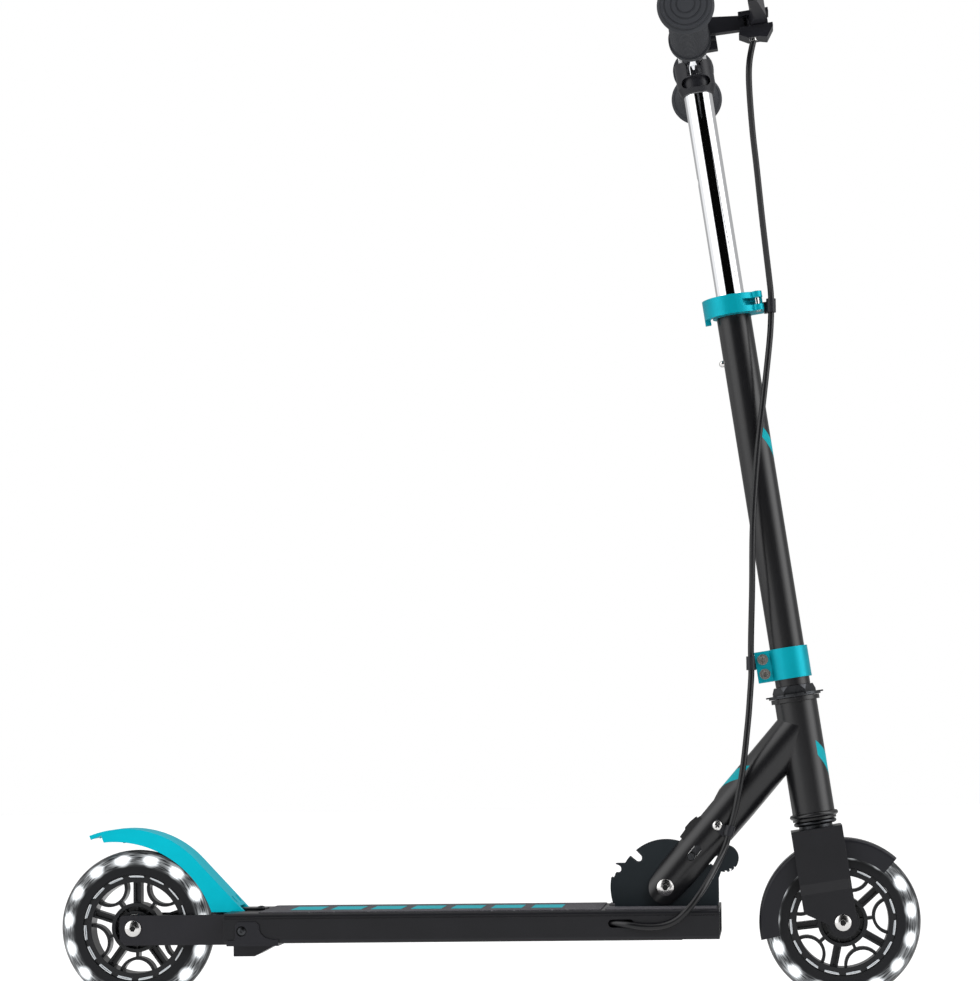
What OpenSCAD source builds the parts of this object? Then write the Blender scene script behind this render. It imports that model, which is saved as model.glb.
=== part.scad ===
// Folding kick scooter with two light-up wheels, a telescopic mast and a hand brake.
// X points forward, Y to the rider's left, Z up. The origin is on the ground, midway
// between the axles. Everything on the steering column is drawn in the column's own
// frame: x forward across the column, y sideways, z up along the steering axis.

/* [Wheels] */
// Outer diameter of both wheels
wheel_d = 125; // [118:1:132]
// Width of the tyres
tyre_w = 24; // [21:0.5:26]
// Diameter over the moulded core, where the tyre starts
core_d = 86; // [80:1:92]
// Width of the core's rim
rim_w = 20; // [16:0.5:21]
// Thickness of the rim, measured inwards from the tyre
rim_t = 6.3; // [5:0.1:8]
// Number of spokes, and of the loops between them
spoke_n = 5; // [4:1:6]
// Width of a spoke
spoke_w = 6.2; // [5:0.1:8]
// Thickness of the spokes along the axle
spoke_t = 11; // [8:0.5:14]
// Outer radius of a loop between two spokes
loop_r = 15; // [13:0.5:16]
// Width of a loop's band
loop_band = 2.5; // [2:0.1:3.5]
// Outer diameter of the hub ring
hub_d = 40; // [36:0.5:44]
// Angle of the first spoke on the rear wheel
rear_phase = 18; // [0:1:71]
// Angle of the first spoke on the front wheel
front_phase = 42; // [0:1:71]
// Number of light modules in each wheel
led_n = 15; // [10:1:15]
// Outer diameter of the wheel bearings
bearing_d = 22; // [20:0.5:24]
// Width of a wheel bearing
bearing_w = 7; // [5:0.5:9]
// Diameter of both axles
axle_d = 8; // [6:0.5:9]
// Distance between the axles
wheelbase = 570; // [540:5:620]

/* [Deck] */
// Width of the deck
deck_w = 100; // [90:1:130]
// Height of the deck extrusion
deck_h = 24; // [22:0.5:32]
// Drop from the axles to the underside of the deck
deck_drop = 11; // [8:0.5:13]
// Thickness of the deck's walls
deck_wall = 2.5; // [2:0.1:3]
// Gap from the rear tyre to the deck
rear_gap = 16.5; // [14:0.5:22]
// Gap from the front tyre to the deck
front_gap = 35; // [30:1:50]
// Thickness of the grip tape
tape_t = 0.8; // [0.5:0.1:1.2]
// Bare margin beside the grip tape
tape_margin = 3.5; // [3:0.5:10]

/* [Rear end] */
// Thickness of the two plates that hold the rear wheel
stay_t = 5; // [4:0.5:6]
// Height of those plates
stay_h = 24; // [22:0.5:26]
// Clear width between those plates
stay_gap = 32; // [29:0.5:36]
// Outer radius of the rear fender's crest
fender_r = 79.5; // [78:0.5:86]
// Width over the rear fender
fender_w = 34; // [32:0.5:40]
// Wall of the rear fender
fender_t = 3; // [2:0.1:3.5]
// Angle of the rear fender's straight flank
flank_angle = 47; // [42:0.5:50]
// Angle round the axle at which the rear fender ends
tip_angle = 111; // [100:1:120]

/* [Neck] */
// Backward lean of the steering column
lean = 8.23; // [5:0.1:12]
// Length of the head tube
head_len = 90; // [80:1:110]
// Outer diameter of the head tube
head_d = 34; // [32:0.5:40]
// Bore of the head tube
head_bore = 29; // [27:0.5:30]
// Outer diameter of the slanting strut
strut_d = 34; // [32:0.5:36]
// Width of the strut's slotted end, seen from the side
cheek_w = 30; // [28:0.5:31]
// Height of the fold pivot above the deck
pivot_up = 15.8; // [15.8:0.1:20]
// Distance of the fold pivot behind the deck's front edge
pivot_back = 43.4; // [42:0.2:50]
// Angle through which the neck folds
fold_angle = 84; // [80:1:88]
// Distance of the lock pins from the fold pivot
lock_r = 32; // [31:0.2:33]
// Radius of the toothed quadrant about the fold pivot
quadrant_r = 37.8; // [36:0.2:39]
// Thickness of each of the two quadrant plates
quadrant_t = 3.5; // [2.5:0.1:3.6]
// Diameter of the fold pivot
pivot_d = 8; // [6:0.5:9]

/* [Fork] */
// Width of the fork's plates, seen from the side
fork_w = 41; // [38:0.5:44]
// Thickness of the fork's plates
fork_t = 4; // [3:0.5:5]
// Outer width over the fork's crown
crown_w = 54; // [50:0.5:60]
// How much narrower the fork is at the axle
fork_joggle = 5; // [0:0.5:6]
// Outer diameter of the steerer tube
steerer_d = 23.4; // [22:0.1:24]
// Outer radius of the front fender about the axle
guard_r = 66.5; // [66.5:0.1:68]
// Width over the front fender
guard_w = 33; // [31:0.5:35]

/* [Column] */
// Outer diameter of the lower column tube
column_d = 28; // [27.5:0.1:30]
// Length of the lower column tube
column_len = 317; // [290:1:340]
// Outer diameter of the telescopic mast
mast_d = 23; // [22:0.1:23]
// Wall of the telescopic mast
mast_wall = 1.5; // [1:0.1:2]
// Distance from the top of the column tube to the handlebar
mast_show = 202.7; // [200:0.5:215]
// Length of mast inside the column tube
mast_in = 66; // [60:1:75]
// Height steps that the mast can be lowered by
mast_drop = 150; // [130:1:150]
// Height of the quick-release collar
collar_h = 15.5; // [14:0.5:20]
// Height of the lower clamp
clamp_h = 25; // [22:0.5:30]

/* [Handlebar] */
// Width over the grips
bar_w = 340; // [300:5:380]
// Outer diameter of the handlebar
bar_d = 22.2; // [19:0.1:24]
// Length of each grip
grip_len = 118; // [100:1:125]
// Distance of each snap ball in from its grip
ball_in = 19; // [15:0.5:22]
// Diameter of the grips' ribbed body
grip_d = 31; // [28:0.5:34]
// Diameter of the grips' outer flange
flange_d = 44; // [38:0.5:48]
// Diameter of the brake cable
cable_d = 4.2; // [4:0.1:5]

/* [Hidden] */
$fn = 72;

// Colours
black = "#1f2124";
plastic = "#2b2d30";
slate = "#2a3238";
teal = "#00a8ba";
steel = "#c3c6c9";
chrome = "#e4e6e8";
smoke = "#6b6f73";

// Clearances
run_fit = 0.05;
free_gap = 0.3;
touch_gap = 0.1;
eps = 0.01;

// Axles and steering axis
wheel_r = wheel_d / 2;
rear_x = -wheelbase / 2;
front_x = wheelbase / 2;
steer_x = front_x;
axle_lx = (front_x - steer_x) * cos(lean) + wheel_r * sin(lean);
axle_t = wheel_r * cos(lean) - (front_x - steer_x) * sin(lean);
axle_r = axle_d / 2;
bolt_head_r = 6.5;
bolt_head_h = 3.2;

// Deck
deck_z = wheel_r - deck_drop;
deck_top = deck_z + deck_h;
deck_rear = rear_x + wheel_r + rear_gap;
deck_front = front_x - wheel_r - front_gap;
deck_len = deck_front - deck_rear;
deck_corner = 3;
web_y = stay_gap / 2 + stay_t + 4;
stay_z = deck_z - 2.6;
side_screw_x = deck_rear + 14.5;
tape_top = deck_top + tape_t;
seat_step = 0.6;
front_bolt_x = deck_front - 21.5;
cover_x0 = deck_rear + 2.5;
cover_len = 41.5;
cover_h = 12;
cover_w = stay_gap + 10;

// Neck
pivot_x = deck_front - pivot_back;
pivot_z = deck_top + pivot_up;
cheek_r = pivot_up - tape_t - 1.5;
quadrant_y = 7.5;
slot_y = quadrant_y + 0.5;
slot_len = 62;
lock_pin_r = 3;
lock_travel = 7;
button_travel = 3;

// Stack along the steering axis
crown_t = 4.6;
guard_gap = guard_r - wheel_r;
crown_top = axle_t + wheel_r + guard_gap + 5.5 + crown_t;
race_h = 6.2;
lower_cup_h = 6;
head_bot = crown_top + race_h + free_gap + lower_cup_h;
head_top = head_bot + head_len;
upper_cup_h = 3.5;
washer_h = 2.5;
washer_t0 = head_top + upper_cup_h + free_gap;
nut_h = 6.5;
nut_t0 = washer_t0 + washer_h;
tube_t0 = nut_t0 + nut_h + 0.2;
clamp_t0 = tube_t0 + 5.8;
column_top = tube_t0 + column_len;
collar_t0 = column_top - collar_h + 1;
bar_t = column_top + mast_show;
strut_t = head_top - 20;
steerer_top = clamp_t0 + clamp_h - 2;
column_bore = mast_d + 2 * free_gap;
snap_t = column_top - 51;
snap_r = 2.75;

// The strut runs from the fold pivot to the head tube's axis
join_x = steer_x - strut_t * sin(lean);
join_z = strut_t * cos(lean);
strut_angle = atan2(join_z - pivot_z, join_x - pivot_x);
strut_len = norm([join_x - pivot_x, join_z - pivot_z]);
tube_from = 87;

// Handlebar
bar_r = bar_d / 2;
grip_y0 = bar_w / 2 - grip_len;
ball_y = grip_y0 - ball_in;
ball_r = 2.6;
ball_angle = 100;

// ---------------------------------------------------------------- helpers

// Puts children in the column's own frame, at a height along the steering axis
module on_column(t = 0) {
  translate([steer_x, 0, 0])
    rotate([0, -lean, 0])
      translate([0, 0, t])
        children();
}

// Puts children at the fold pivot, with x along the strut
module on_strut() {
  translate([pivot_x, 0, pivot_z])
    rotate([0, -strut_angle, 0])
      children();
}

// Cylinder along Y
module cyl_y(r, y0, y1) {
  translate([0, y1, 0])
    rotate([90, 0, 0])
      cylinder(r = r, h = y1 - y0);
}

// Extrudes an outline drawn in X and Z between two values of Y
module slab_y(y0, y1) {
  translate([0, y1, 0])
    rotate([90, 0, 0])
      linear_extrude(y1 - y0)
        children();
}

// Extrudes an outline drawn in Y and Z forward along X
module bar_x(len) {
  rotate([90, 0, 90])
    linear_extrude(len)
      children();
}

module tube(r_out, r_in, h) {
  difference() {
    cylinder(r = r_out, h = h);
    translate([0, 0, -1])
      cylinder(r = r_in, h = h + 2);
  }
}

module round_rect(w, h, r) {
  square([w - 2 * r, h], center = true);
  square([w, h - 2 * r], center = true);
  for (x = [-1, 1], y = [-1, 1])
    translate([x * (w / 2 - r), y * (h / 2 - r)])
      circle(r = r);
}

// Straight slot outline with round ends, from x0 to x1
module slot_outline(x0, x1, r) {
  translate([x0, -r])
    square([x1 - x0, 2 * r]);
  for (x = [x0, x1])
    translate([x, 0])
      circle(r = r);
}

// Both sides of the mid-plane
module both_sides() {
  children();
  mirror([0, 1, 0])
    children();
}

// Button-head bolt head with a hex socket, standing on z = 0 and pointing up
module bolt_head(r, h, socket) {
  difference() {
    intersection() {
      cylinder(r = r, h = h);
      translate([0, 0, h - 1.9 * r])
        sphere(r = 1.9 * r);
    }
    translate([0, 0, h * 0.4])
      cylinder(r = socket, h = h, $fn = 6);
  }
}

// A bolt head on the near side, its face towards -Y, at the given Y
module head_near(y, r, h, socket) {
  translate([0, y, 0])
    rotate([90, 0, 0])
      bolt_head(r, h, socket);
}

// ---------------------------------------------------------------- wheels

// Loops: rings centred near the rim, cut off by it, with a rib to the hub
loop_c = core_d / 2 - rim_t + 2.1;

module core_web_outline() {
  opening_r = core_d / 2 - rim_t;
  difference() {
    union() {
      for (i = [0 : spoke_n - 1])
        rotate(i * 360 / spoke_n)
          translate([hub_d / 2 - 1, -spoke_w / 2])
            square([opening_r - hub_d / 2 + 2, spoke_w]);
      for (i = [0 : spoke_n - 1])
        rotate((i + 0.5) * 360 / spoke_n) {
          intersection() {
            translate([loop_c, 0])
              difference() {
                circle(r = loop_r);
                circle(r = loop_r - loop_band);
              }
            circle(r = opening_r + 1);
          }
          translate([hub_d / 2 - 1, -loop_band / 2])
            square([loop_c - loop_r - hub_d / 2 + 2, loop_band]);
        }
    }
    circle(r = hub_d / 2 - 1.5);
  }
}

// Wheel core, with its axis along Z and its middle at z = 0
module core_body(phase) {
  core_r = core_d / 2;
  boss_r = bearing_d / 2 + 2.6;
  hub_r = hub_d / 2;
  groove_w = spoke_w * 0.36;
  difference() {
    union() {
      // Rim, with a flared lip at each edge
      translate([0, 0, -rim_w / 2])
        tube(core_r - touch_gap / 2, core_r - rim_t, rim_w);
      rotate(phase)
        translate([0, 0, -spoke_t / 2])
          linear_extrude(spoke_t)
            core_web_outline();
      // Hub ring
      translate([0, 0, -rim_w / 2])
        tube(hub_r, hub_r - 3, rim_w);
      // Floor and ribs between the hub ring and the bearing boss
      translate([0, 0, -2])
        tube(hub_r - 1, boss_r - 1, 4);
      for (i = [0 : 2 * spoke_n - 1])
        rotate(phase + i * 180 / spoke_n)
          translate([boss_r - 1, -0.9, -spoke_t / 2])
            cube([hub_r - boss_r - 1, 1.8, spoke_t]);
      // Bearing boss
      translate([0, 0, -tyre_w / 2])
        tube(boss_r, axle_r + 3, tyre_w);
    }
    // Bearing seats
    for (s = [-1, 1])
      translate([0, 0, s * (tyre_w / 2 - bearing_w / 2 + 0.5)])
        cylinder(r = bearing_d / 2, h = bearing_w + 1, center = true);
    // Groove down both faces of each spoke, so it reads as two ribs
    for (i = [0 : spoke_n - 1], s = [-1, 1])
      rotate(phase + i * 360 / spoke_n)
        translate([(hub_r + core_r - rim_t) / 2, 0, s * spoke_t / 2])
          cube([core_r - rim_t - hub_r - 2, groove_w, 5], center = true);
    // Pockets for the light modules
    led_blocks(touch_gap, rim_w + 2);
  }
}

// Row of light modules round the rim, with their axis along Z
module led_blocks(grow, len) {
  for (i = [0 : led_n - 1])
    rotate((i + 0.7) * 360 / led_n)
      translate([core_d / 2 - 2, 0, 0])
        cube([1 + grow, 11.5 + grow, len], center = true);
}

module wheel_core(x, phase) {
  color(black)
    translate([x, 0, wheel_r])
      rotate([90, 0, 0])
        core_body(phase);
}

module wheel_tyre(x) {
  crown = wheel_r - core_d / 2;
  shoulder = crown - tyre_w / 2;
  color(smoke, 0.8)
    translate([x, 0, wheel_r])
      rotate([90, 0, 0])
        rotate_extrude()
          intersection() {
            union() {
              translate([core_d / 2 + touch_gap / 2, -tyre_w / 2])
                square([shoulder + 2, tyre_w]);
              translate([core_d / 2 + shoulder, 0])
                circle(r = tyre_w / 2);
            }
            translate([core_d / 2 + touch_gap / 2, -tyre_w / 2])
              square([crown, tyre_w]);
          }
}

// Two ball bearings with a rubber seal groove on each face
module wheel_bearings(x) {
  color(steel)
    translate([x, 0, wheel_r])
      rotate([90, 0, 0])
        for (s = [-1, 1])
          translate([0, 0, s * (tyre_w / 2 - bearing_w / 2)])
            difference() {
              translate([0, 0, -bearing_w / 2])
                tube(bearing_d / 2 - run_fit / 2, axle_r + run_fit, bearing_w);
              for (f = [-1, 1])
                translate([0, 0, f * bearing_w / 2 - 0.4])
                  tube(bearing_d / 2 - 2, axle_r + 2, 0.8);
            }
}

module wheel_leds(x) {
  color("white")
    translate([x, 0, wheel_r])
      rotate([90, 0, 0])
        led_blocks(0, rim_w);
}

// Axle bolt along Y with a spacer each side of the wheel, head on the near side
module axle_set(inner_y, outer_y) {
  color(steel) {
    cyl_y(axle_r, -outer_y, outer_y + 5);
    head_near(-outer_y, bolt_head_r, bolt_head_h, 2.5);
    // Nut on the far side
    difference() {
      translate([0, outer_y + 6, 0])
        rotate([90, 0, 0])
          cylinder(r = 7, h = 6, $fn = 6);
      cyl_y(axle_r, outer_y - 1, outer_y + 7);
    }
    for (s = [-1, 1])
      translate([0, s * (tyre_w / 2 + inner_y) / 2, 0])
        rotate([90, 0, 0])
          difference() {
            cylinder(r = axle_r + 2, h = inner_y - tyre_w / 2 - 2 * touch_gap, center = true);
            cylinder(r = axle_r + run_fit, h = inner_y, center = true);
          }
  }
}

// ---------------------------------------------------------------- deck

module deck_section() {
  cell_h = deck_h - 2 * deck_wall;
  side_cell = deck_w / 2 - deck_wall - web_y - deck_wall;
  difference() {
    round_rect(deck_w, deck_h, deck_corner);
    round_rect(2 * web_y, cell_h, 1.5);
    for (s = [-1, 1])
      translate([s * (web_y + deck_wall + side_cell / 2), 0])
        round_rect(side_cell, cell_h, 1.5);
    // Shadow groove below the top edge on both sides
    for (s = [-1, 1])
      translate([s * deck_w / 2, deck_h / 2 - 4])
        square([1.2, 1], center = true);
  }
}

module deck() {
  slot_x = deck_front - 77.5;
  color(black)
    difference() {
      translate([deck_rear, 0, deck_z + deck_h / 2])
        bar_x(deck_len)
          deck_section();
      // Slot where the brake cable goes in
      translate([slot_x, 0, deck_z + 13.5])
        slab_y(-deck_w / 2 - 1, -deck_w / 2 + deck_wall + 1)
          slot_outline(-7, 7, 3.2);
      // Window in the web for the cable, near the brake
      translate([deck_rear + 92, 0, deck_z + deck_h / 2])
        slab_y(-web_y - deck_wall - 1, -web_y + 1)
          slot_outline(-20, 20, 6);
      // Notch in the top for the fender's foot
      translate([deck_rear - 1, -fender_w / 2 - 0.7, deck_top - deck_wall - 1])
        cube([foot_x + 2.5 - deck_rear, fender_w + 1.4, deck_wall + 2]);
      // Opening above the brake cover
      translate([deck_rear - 1, -stay_gap / 2 + 1, deck_z - 1])
        cube([58, stay_gap - 2, deck_wall + 2]);
      // Holes for the pivot bracket's bolts
      for (dx = [-24, 24])
        translate([pivot_x + dx, 0, deck_z + deck_h / 2])
          cylinder(r = 2.6, h = deck_h);
      // Hole for the bolt in the underside
      translate([front_bolt_x, 0, deck_z - 1])
        cylinder(r = 3, h = deck_wall + 2);
      // Shallow steps where the brake cover and that bolt are seated
      for (span = [[deck_rear - 1, cover_x0 + cover_len + 1], [front_bolt_x - 8, deck_front + 1]])
        translate([span[0], -deck_w / 2 - 1, deck_z - 1])
          cube([span[1] - span[0], deck_w + 2, seat_step + 1]);
    }
}

// Flat piece of tape lying on the deck, from x0 to x1
module tape_piece(x0, x1, y0, y1) {
  translate([(x0 + x1) / 2, (y0 + y1) / 2, deck_top])
    linear_extrude(tape_t)
      round_rect(x1 - x0, y1 - y0, 3);
}

module grip_tape() {
  edge = deck_w / 2 - tape_margin;
  color("#3a3c3f")
    tape_piece(deck_rear + 27, pivot_x - 50, -edge, edge);
}

module front_grip_pads() {
  edge = deck_w / 2 - tape_margin;
  color("#3a3c3f")
    both_sides()
      tape_piece(pivot_x - 47, deck_front - 2, 13, edge);
}

module deck_screws() {
  color(steel) {
    // Bolt in the underside near the front
    translate([front_bolt_x, 0, deck_z + seat_step])
      rotate([180, 0, 0])
        bolt_head(6, 1.8 + seat_step, 2);
    // Screws through the deck's sides into the stays
    for (s = [0, 1])
      mirror([0, s, 0])
        translate([side_screw_x, 0, wheel_r - 1])
          head_near(-deck_w / 2, 3.9, 1.6, 1.4);
    // Screw that holds the fender bracket
    translate([deck_rear + 21.6, 0, deck_top + 2])
      bolt_head(3, 1.4, 1.2);
    // Screws up through the pivot bracket's foot
    for (dx = [-24, 24])
      translate([pivot_x + dx, 0, deck_top + 3])
        bolt_head(3.8, 2, 1.4);
  }
}

// ---------------------------------------------------------------- rear end

stay_in = stay_gap / 2;
stay_out = stay_in + stay_t;

module stay_outline() {
  tail = 11;
  back = 5;
  difference() {
    union() {
      polygon([
        [-tail, stay_z + 4 - wheel_r],
        [-tail + 4, stay_z - wheel_r],
        [deck_rear - rear_x, stay_z - wheel_r],
        [deck_rear - rear_x, stay_z + stay_h - wheel_r],
        [-tail + 2, stay_z + stay_h - wheel_r],
        [-tail, stay_z + stay_h - 2 - wheel_r]
      ]);
      // Tongue inside the deck
      translate([deck_rear - rear_x - 1, deck_z + deck_wall + 0.2 - wheel_r])
        square([46, deck_h - 2 * deck_wall - 0.4 - back]);
    }
    circle(r = axle_r + run_fit);
  }
}

rocker_x = deck_rear + 9;
rocker_z = wheel_r - 4.5;
rocker_pin_r = 2.5;

module rear_stays() {
  color(black)
    both_sides()
      difference() {
        translate([rear_x, 0, wheel_r])
          slab_y(stay_in, stay_out)
            stay_outline();
        translate([rocker_x, 0, rocker_z])
          cyl_y(rocker_pin_r + run_fit, stay_in - 1, stay_out + 1);
      }
}

module rear_axle() {
  translate([rear_x, 0, wheel_r])
    axle_set(stay_in, stay_out);
}

// Ear of the brake cover on the deck's side, seen from the side
module cover_ear() {
  polygon([
    [0, -1.7], [0, 2.7], [6, 2.7], [7, 5], [7, 15], [9.5, 17.5], [23, 17.5], [26, 15],
    [26, 11], [28, 7.5], [31, 5], [35, 3.6], [cover_len, 3.2], [cover_len, -1.7]
  ]);
}

// Plastic cover under the deck's rear end, hollow and open at the top
module brake_cover() {
  wall = 2;
  flange = 1.7;
  ear_t = 1.6;
  color(plastic)
    difference() {
      translate([cover_x0, 0, deck_z]) {
        slab_y(-cover_w / 2, cover_w / 2)
          polygon([
            [0, seat_step], [0, -cover_h], [17, -cover_h],
            [36.5, -flange], [cover_len, -flange], [cover_len, seat_step]
          ]);
        both_sides()
          slab_y(deck_w / 2, deck_w / 2 + ear_t)
            cover_ear();
        translate([0, -deck_w / 2 - ear_t, -flange])
          cube([cover_len, deck_w + 2 * ear_t, flange + seat_step]);
      }
      translate([cover_x0, 0, deck_z])
        slab_y(-cover_w / 2 + wall, cover_w / 2 - wall)
          polygon([
            [wall, 2], [wall, wall - cover_h], [16.3, wall - cover_h], [33.4, -1], [33.4, 2]
          ]);
      // Way in for the cable
      translate([cover_x0 + 22, -4, deck_z - 5])
        cube([cover_len, 8, 7]);
      // Clearance for the screws in the deck's sides
      both_sides()
        translate([side_screw_x, 0, wheel_r - 1])
          cyl_y(4.1, deck_w / 2 - 1, deck_w / 2 + 3);
    }
}

// Rocker: the cable pulls its foot forward and its head presses the pad on the tyre
module rocker_outline() {
  circle(r = 5.5);
  polygon([[-5, 1], [5, 1], [2.6, -13], [-2.6, -13]]);
  translate([0, -12.5])
    circle(r = 3);
  polygon([[-3, 5], [4, 4], [-6, 13], [-13, 13], [-13, 3], [-5, -2]]);
}

module brake_rocker() {
  color(steel)
    translate([rocker_x, 0, rocker_z])
      difference() {
        slab_y(-5, 5)
          rocker_outline();
        cyl_y(rocker_pin_r + run_fit, -6, 6);
        // Slot for the cable end
        translate([-6, -2.4, -18])
          cube([12, 4.8, 10.2]);
      }
}

module rocker_pin() {
  color(steel)
    translate([rocker_x, 0, rocker_z])
      cyl_y(rocker_pin_r, -stay_out, stay_out);
}

pad_gap = 3.5;

module brake_pad() {
  color("#141414")
    difference() {
      translate([rear_x, -8, rocker_z + 3.5])
        cube([rocker_x - 13 - rear_x, 16, 9]);
      translate([rear_x, 0, wheel_r])
        cyl_y(wheel_r + pad_gap, -9, 9);
    }
}

// Bracket on the deck that the rear fender is hinged to
hinge_x = deck_rear - 6.5;
hinge_z = deck_top + 6.6;
hinge_r = 2;
ear_y = 7;

module fender_bracket() {
  color(steel)
    difference() {
      union() {
        translate([hinge_x - 0.5, -ear_y - 2.5, deck_top])
          cube([deck_rear + 27 - hinge_x, 2 * ear_y + 5, 2]);
        for (y = [-ear_y - 2.5, ear_y])
          translate([hinge_x, y + 2.5, hinge_z])
            rotate([90, 0, 0])
              linear_extrude(2.5) {
                circle(r = 4);
                translate([-0.5, deck_top - hinge_z])
                  square([9, hinge_z - deck_top]);
              }
      }
      translate([hinge_x, 0, hinge_z])
        cyl_y(hinge_r, -ear_y - 4, ear_y + 4);
      translate([deck_rear + 21.6, 0, deck_top - 1])
        cylinder(r = 1.6, h = 4);
    }
}

module fender_pin() {
  color(steel)
    translate([hinge_x, 0, hinge_z])
      cyl_y(hinge_r, -fender_w / 2 + 1.3, fender_w / 2 - 1.3);
}

// Torsion spring: a helix of round wire, swept by the same function as the cable
spring_wire = 1.2;
spring_turns = 4;
spring_pts = [
  for (i = [0 : 12 * spring_turns])
    [3.4 * cos(i * 30), -4.4 + 8.8 * i / (12 * spring_turns), 3.4 * sin(i * 30)]
];

module fender_spring() {
  color(steel)
    translate([hinge_x, 0, hinge_z])
      sweep(spring_pts, spring_wire / 2, 6);
}

// Centre of the fender's crest, a little behind the axle
crest_x = -8;
crest_z = 0.5;
fender_base = stay_z + stay_h + 1.9;
flank_x = fender_r * sin(flank_angle);
flank_z = fender_r * cos(flank_angle);
foot_x = rear_x + crest_x + flank_x
  + (wheel_r + crest_z + flank_z - fender_base) / tan(flank_angle);

// Side view of the rear fender about its crest's centre
module fender_side() {
  base_z = fender_base - wheel_r - crest_z;
  difference() {
    union() {
      intersection() {
        circle(r = fender_r, $fn = 120);
        polygon([
          [0, 0], [2 * flank_x, 2 * flank_z], [0, 3 * fender_r],
          [2 * fender_r * cos(tip_angle), 2 * fender_r * sin(tip_angle)]
        ]);
      }
      polygon([
        [0, base_z], [foot_x - rear_x - crest_x, base_z],
        [flank_x, flank_z], [0, 0.6 * flank_z]
      ]);
    }
    // The lower edge runs close to the tyre in front and opens out towards the tip
    translate([-9, -15.5])
      circle(r = 84.5, $fn = 120);
    // The flanks end before the tip, which is a thin lip
    rotate(tip_angle)
      translate([fender_r - 14, -9])
        square([10.5, 16]);
  }
}

// Hollow below the fender's shell
module fender_hollow() {
  a = 90 - flank_angle;
  r = fender_r - fender_t;
  tan_pt = [r * cos(a), r * sin(a)];
  run = (tan_pt[1] + 20) / tan(flank_angle);
  circle(r = r, $fn = 120);
  polygon([
    [0, -20], [tan_pt[0] + run, -20], tan_pt, [0, 0.6 * tan_pt[1]]
  ]);
}

module rear_fender() {
  half = fender_w / 2;
  color(teal)
    difference() {
      translate([rear_x + crest_x, 0, wheel_r + crest_z])
        slab_y(-half, half)
          fender_side();
      translate([rear_x + crest_x, 0, wheel_r + crest_z])
        slab_y(-half + fender_t - 0.5, half - fender_t + 0.5)
          fender_hollow();
      // Blind bores for the hinge pin
      translate([hinge_x, 0, hinge_z])
        cyl_y(hinge_r + run_fit, -half + 1, half - 1);
      // Notches over the bracket's foot and ears
      translate([hinge_x - 2, -ear_y - 4, deck_top - 5])
        cube([40, 2 * ear_y + 8, 9]);
      for (s = [-1, 1])
        translate([hinge_x - 6, s * (ear_y + 1.25) - 2, deck_top])
          cube([16, 4, hinge_z - deck_top + 5]);
    }
}

pad_r = wheel_r + 6.5;

// Friction block under the fender, above the tyre
module fender_pad() {
  color("#141414")
    translate([rear_x, 0, wheel_r])
      slab_y(-10, 10)
        difference() {
          intersection() {
            translate([crest_x, crest_z])
              circle(r = fender_r - fender_t - run_fit, $fn = 120);
            polygon([[0, 0], [60, 200], [-30, 200]]);
          }
          circle(r = pad_r, $fn = 120);
        }
}

// ---------------------------------------------------------------- fold mechanism

// Side view of a quadrant plate about the fold pivot
module quadrant_outline() {
  base = deck_top + 3 - pivot_z;
  heel_r = 44.4;
  front = pivot_back - 1;
  difference() {
    union() {
      circle(r = quadrant_r);
      intersection() {
        circle(r = heel_r);
        translate([-heel_r, base])
          square([heel_r, 19 - base]);
      }
      translate([-30, base])
        square([30 + front, 11 - base]);
      // Hook that points forward
      translate([48, 22])
        circle(r = 10.7);
      polygon([[25, 22], [30, 31], [46, 32.5], [50, 26], [front, 6], [30, 4]]);
    }
    // Everything below the foot
    translate([-60, base - 60])
      square([120, 60]);
    // Lock notches for riding and for carrying
    for (a = [strut_angle, strut_angle + fold_angle])
      rotate(a) {
        translate([lock_r, 0])
          circle(r = lock_pin_r + 0.2);
        polygon([
          [lock_r, -lock_pin_r - 0.2], [lock_r, lock_pin_r + 0.2],
          [heel_r + 2, lock_pin_r + 2], [heel_r + 2, -lock_pin_r - 0.2]
        ]);
      }
    // Stop notch behind the carrying notch
    rotate(strut_angle + fold_angle + 24.5) {
      translate([heel_r - 3, 1])
        circle(r = 3.2);
      translate([heel_r - 3, 0])
        square([8, 9]);
      translate([heel_r - 3, -2.2])
        square([8, 4]);
    }
    // Relief behind the hook
    translate([38.6, 18.6])
      circle(r = 2.4);
    rotate(35)
      translate([38, -6.3])
        square([10, 2.6]);
    // Small teeth under the hook
    for (i = [0 : 2])
      translate([48.3 + 3.6 * i, 11.6 + 1.5 * i])
        rotate(20)
          circle(r = 1.7, $fn = 3);
    circle(r = pivot_d / 2 + run_fit);
  }
}

module fold_quadrants() {
  color(slate)
    difference() {
      union() {
        translate([pivot_x, 0, pivot_z])
          both_sides()
            slab_y(quadrant_y - quadrant_t, quadrant_y)
              quadrant_outline();
        // Foot that joins the plates and is bolted to the deck
        translate([pivot_x - 41, -quadrant_y, deck_top])
          cube([pivot_back + 39.5, 2 * quadrant_y, 3]);
        // Bush round the pivot, between the plates
        translate([pivot_x, 0, pivot_z])
          cyl_y(pivot_d / 2 + 2, -quadrant_y + 1, quadrant_y - 1);
      }
      translate([pivot_x, 0, pivot_z])
        cyl_y(pivot_d / 2 + run_fit, -quadrant_y - 1, quadrant_y + 1);
      for (dx = [-24, 24])
        translate([pivot_x + dx, 0, deck_top - 1])
          cylinder(r = 2.6, h = 6);
    }
}

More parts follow.
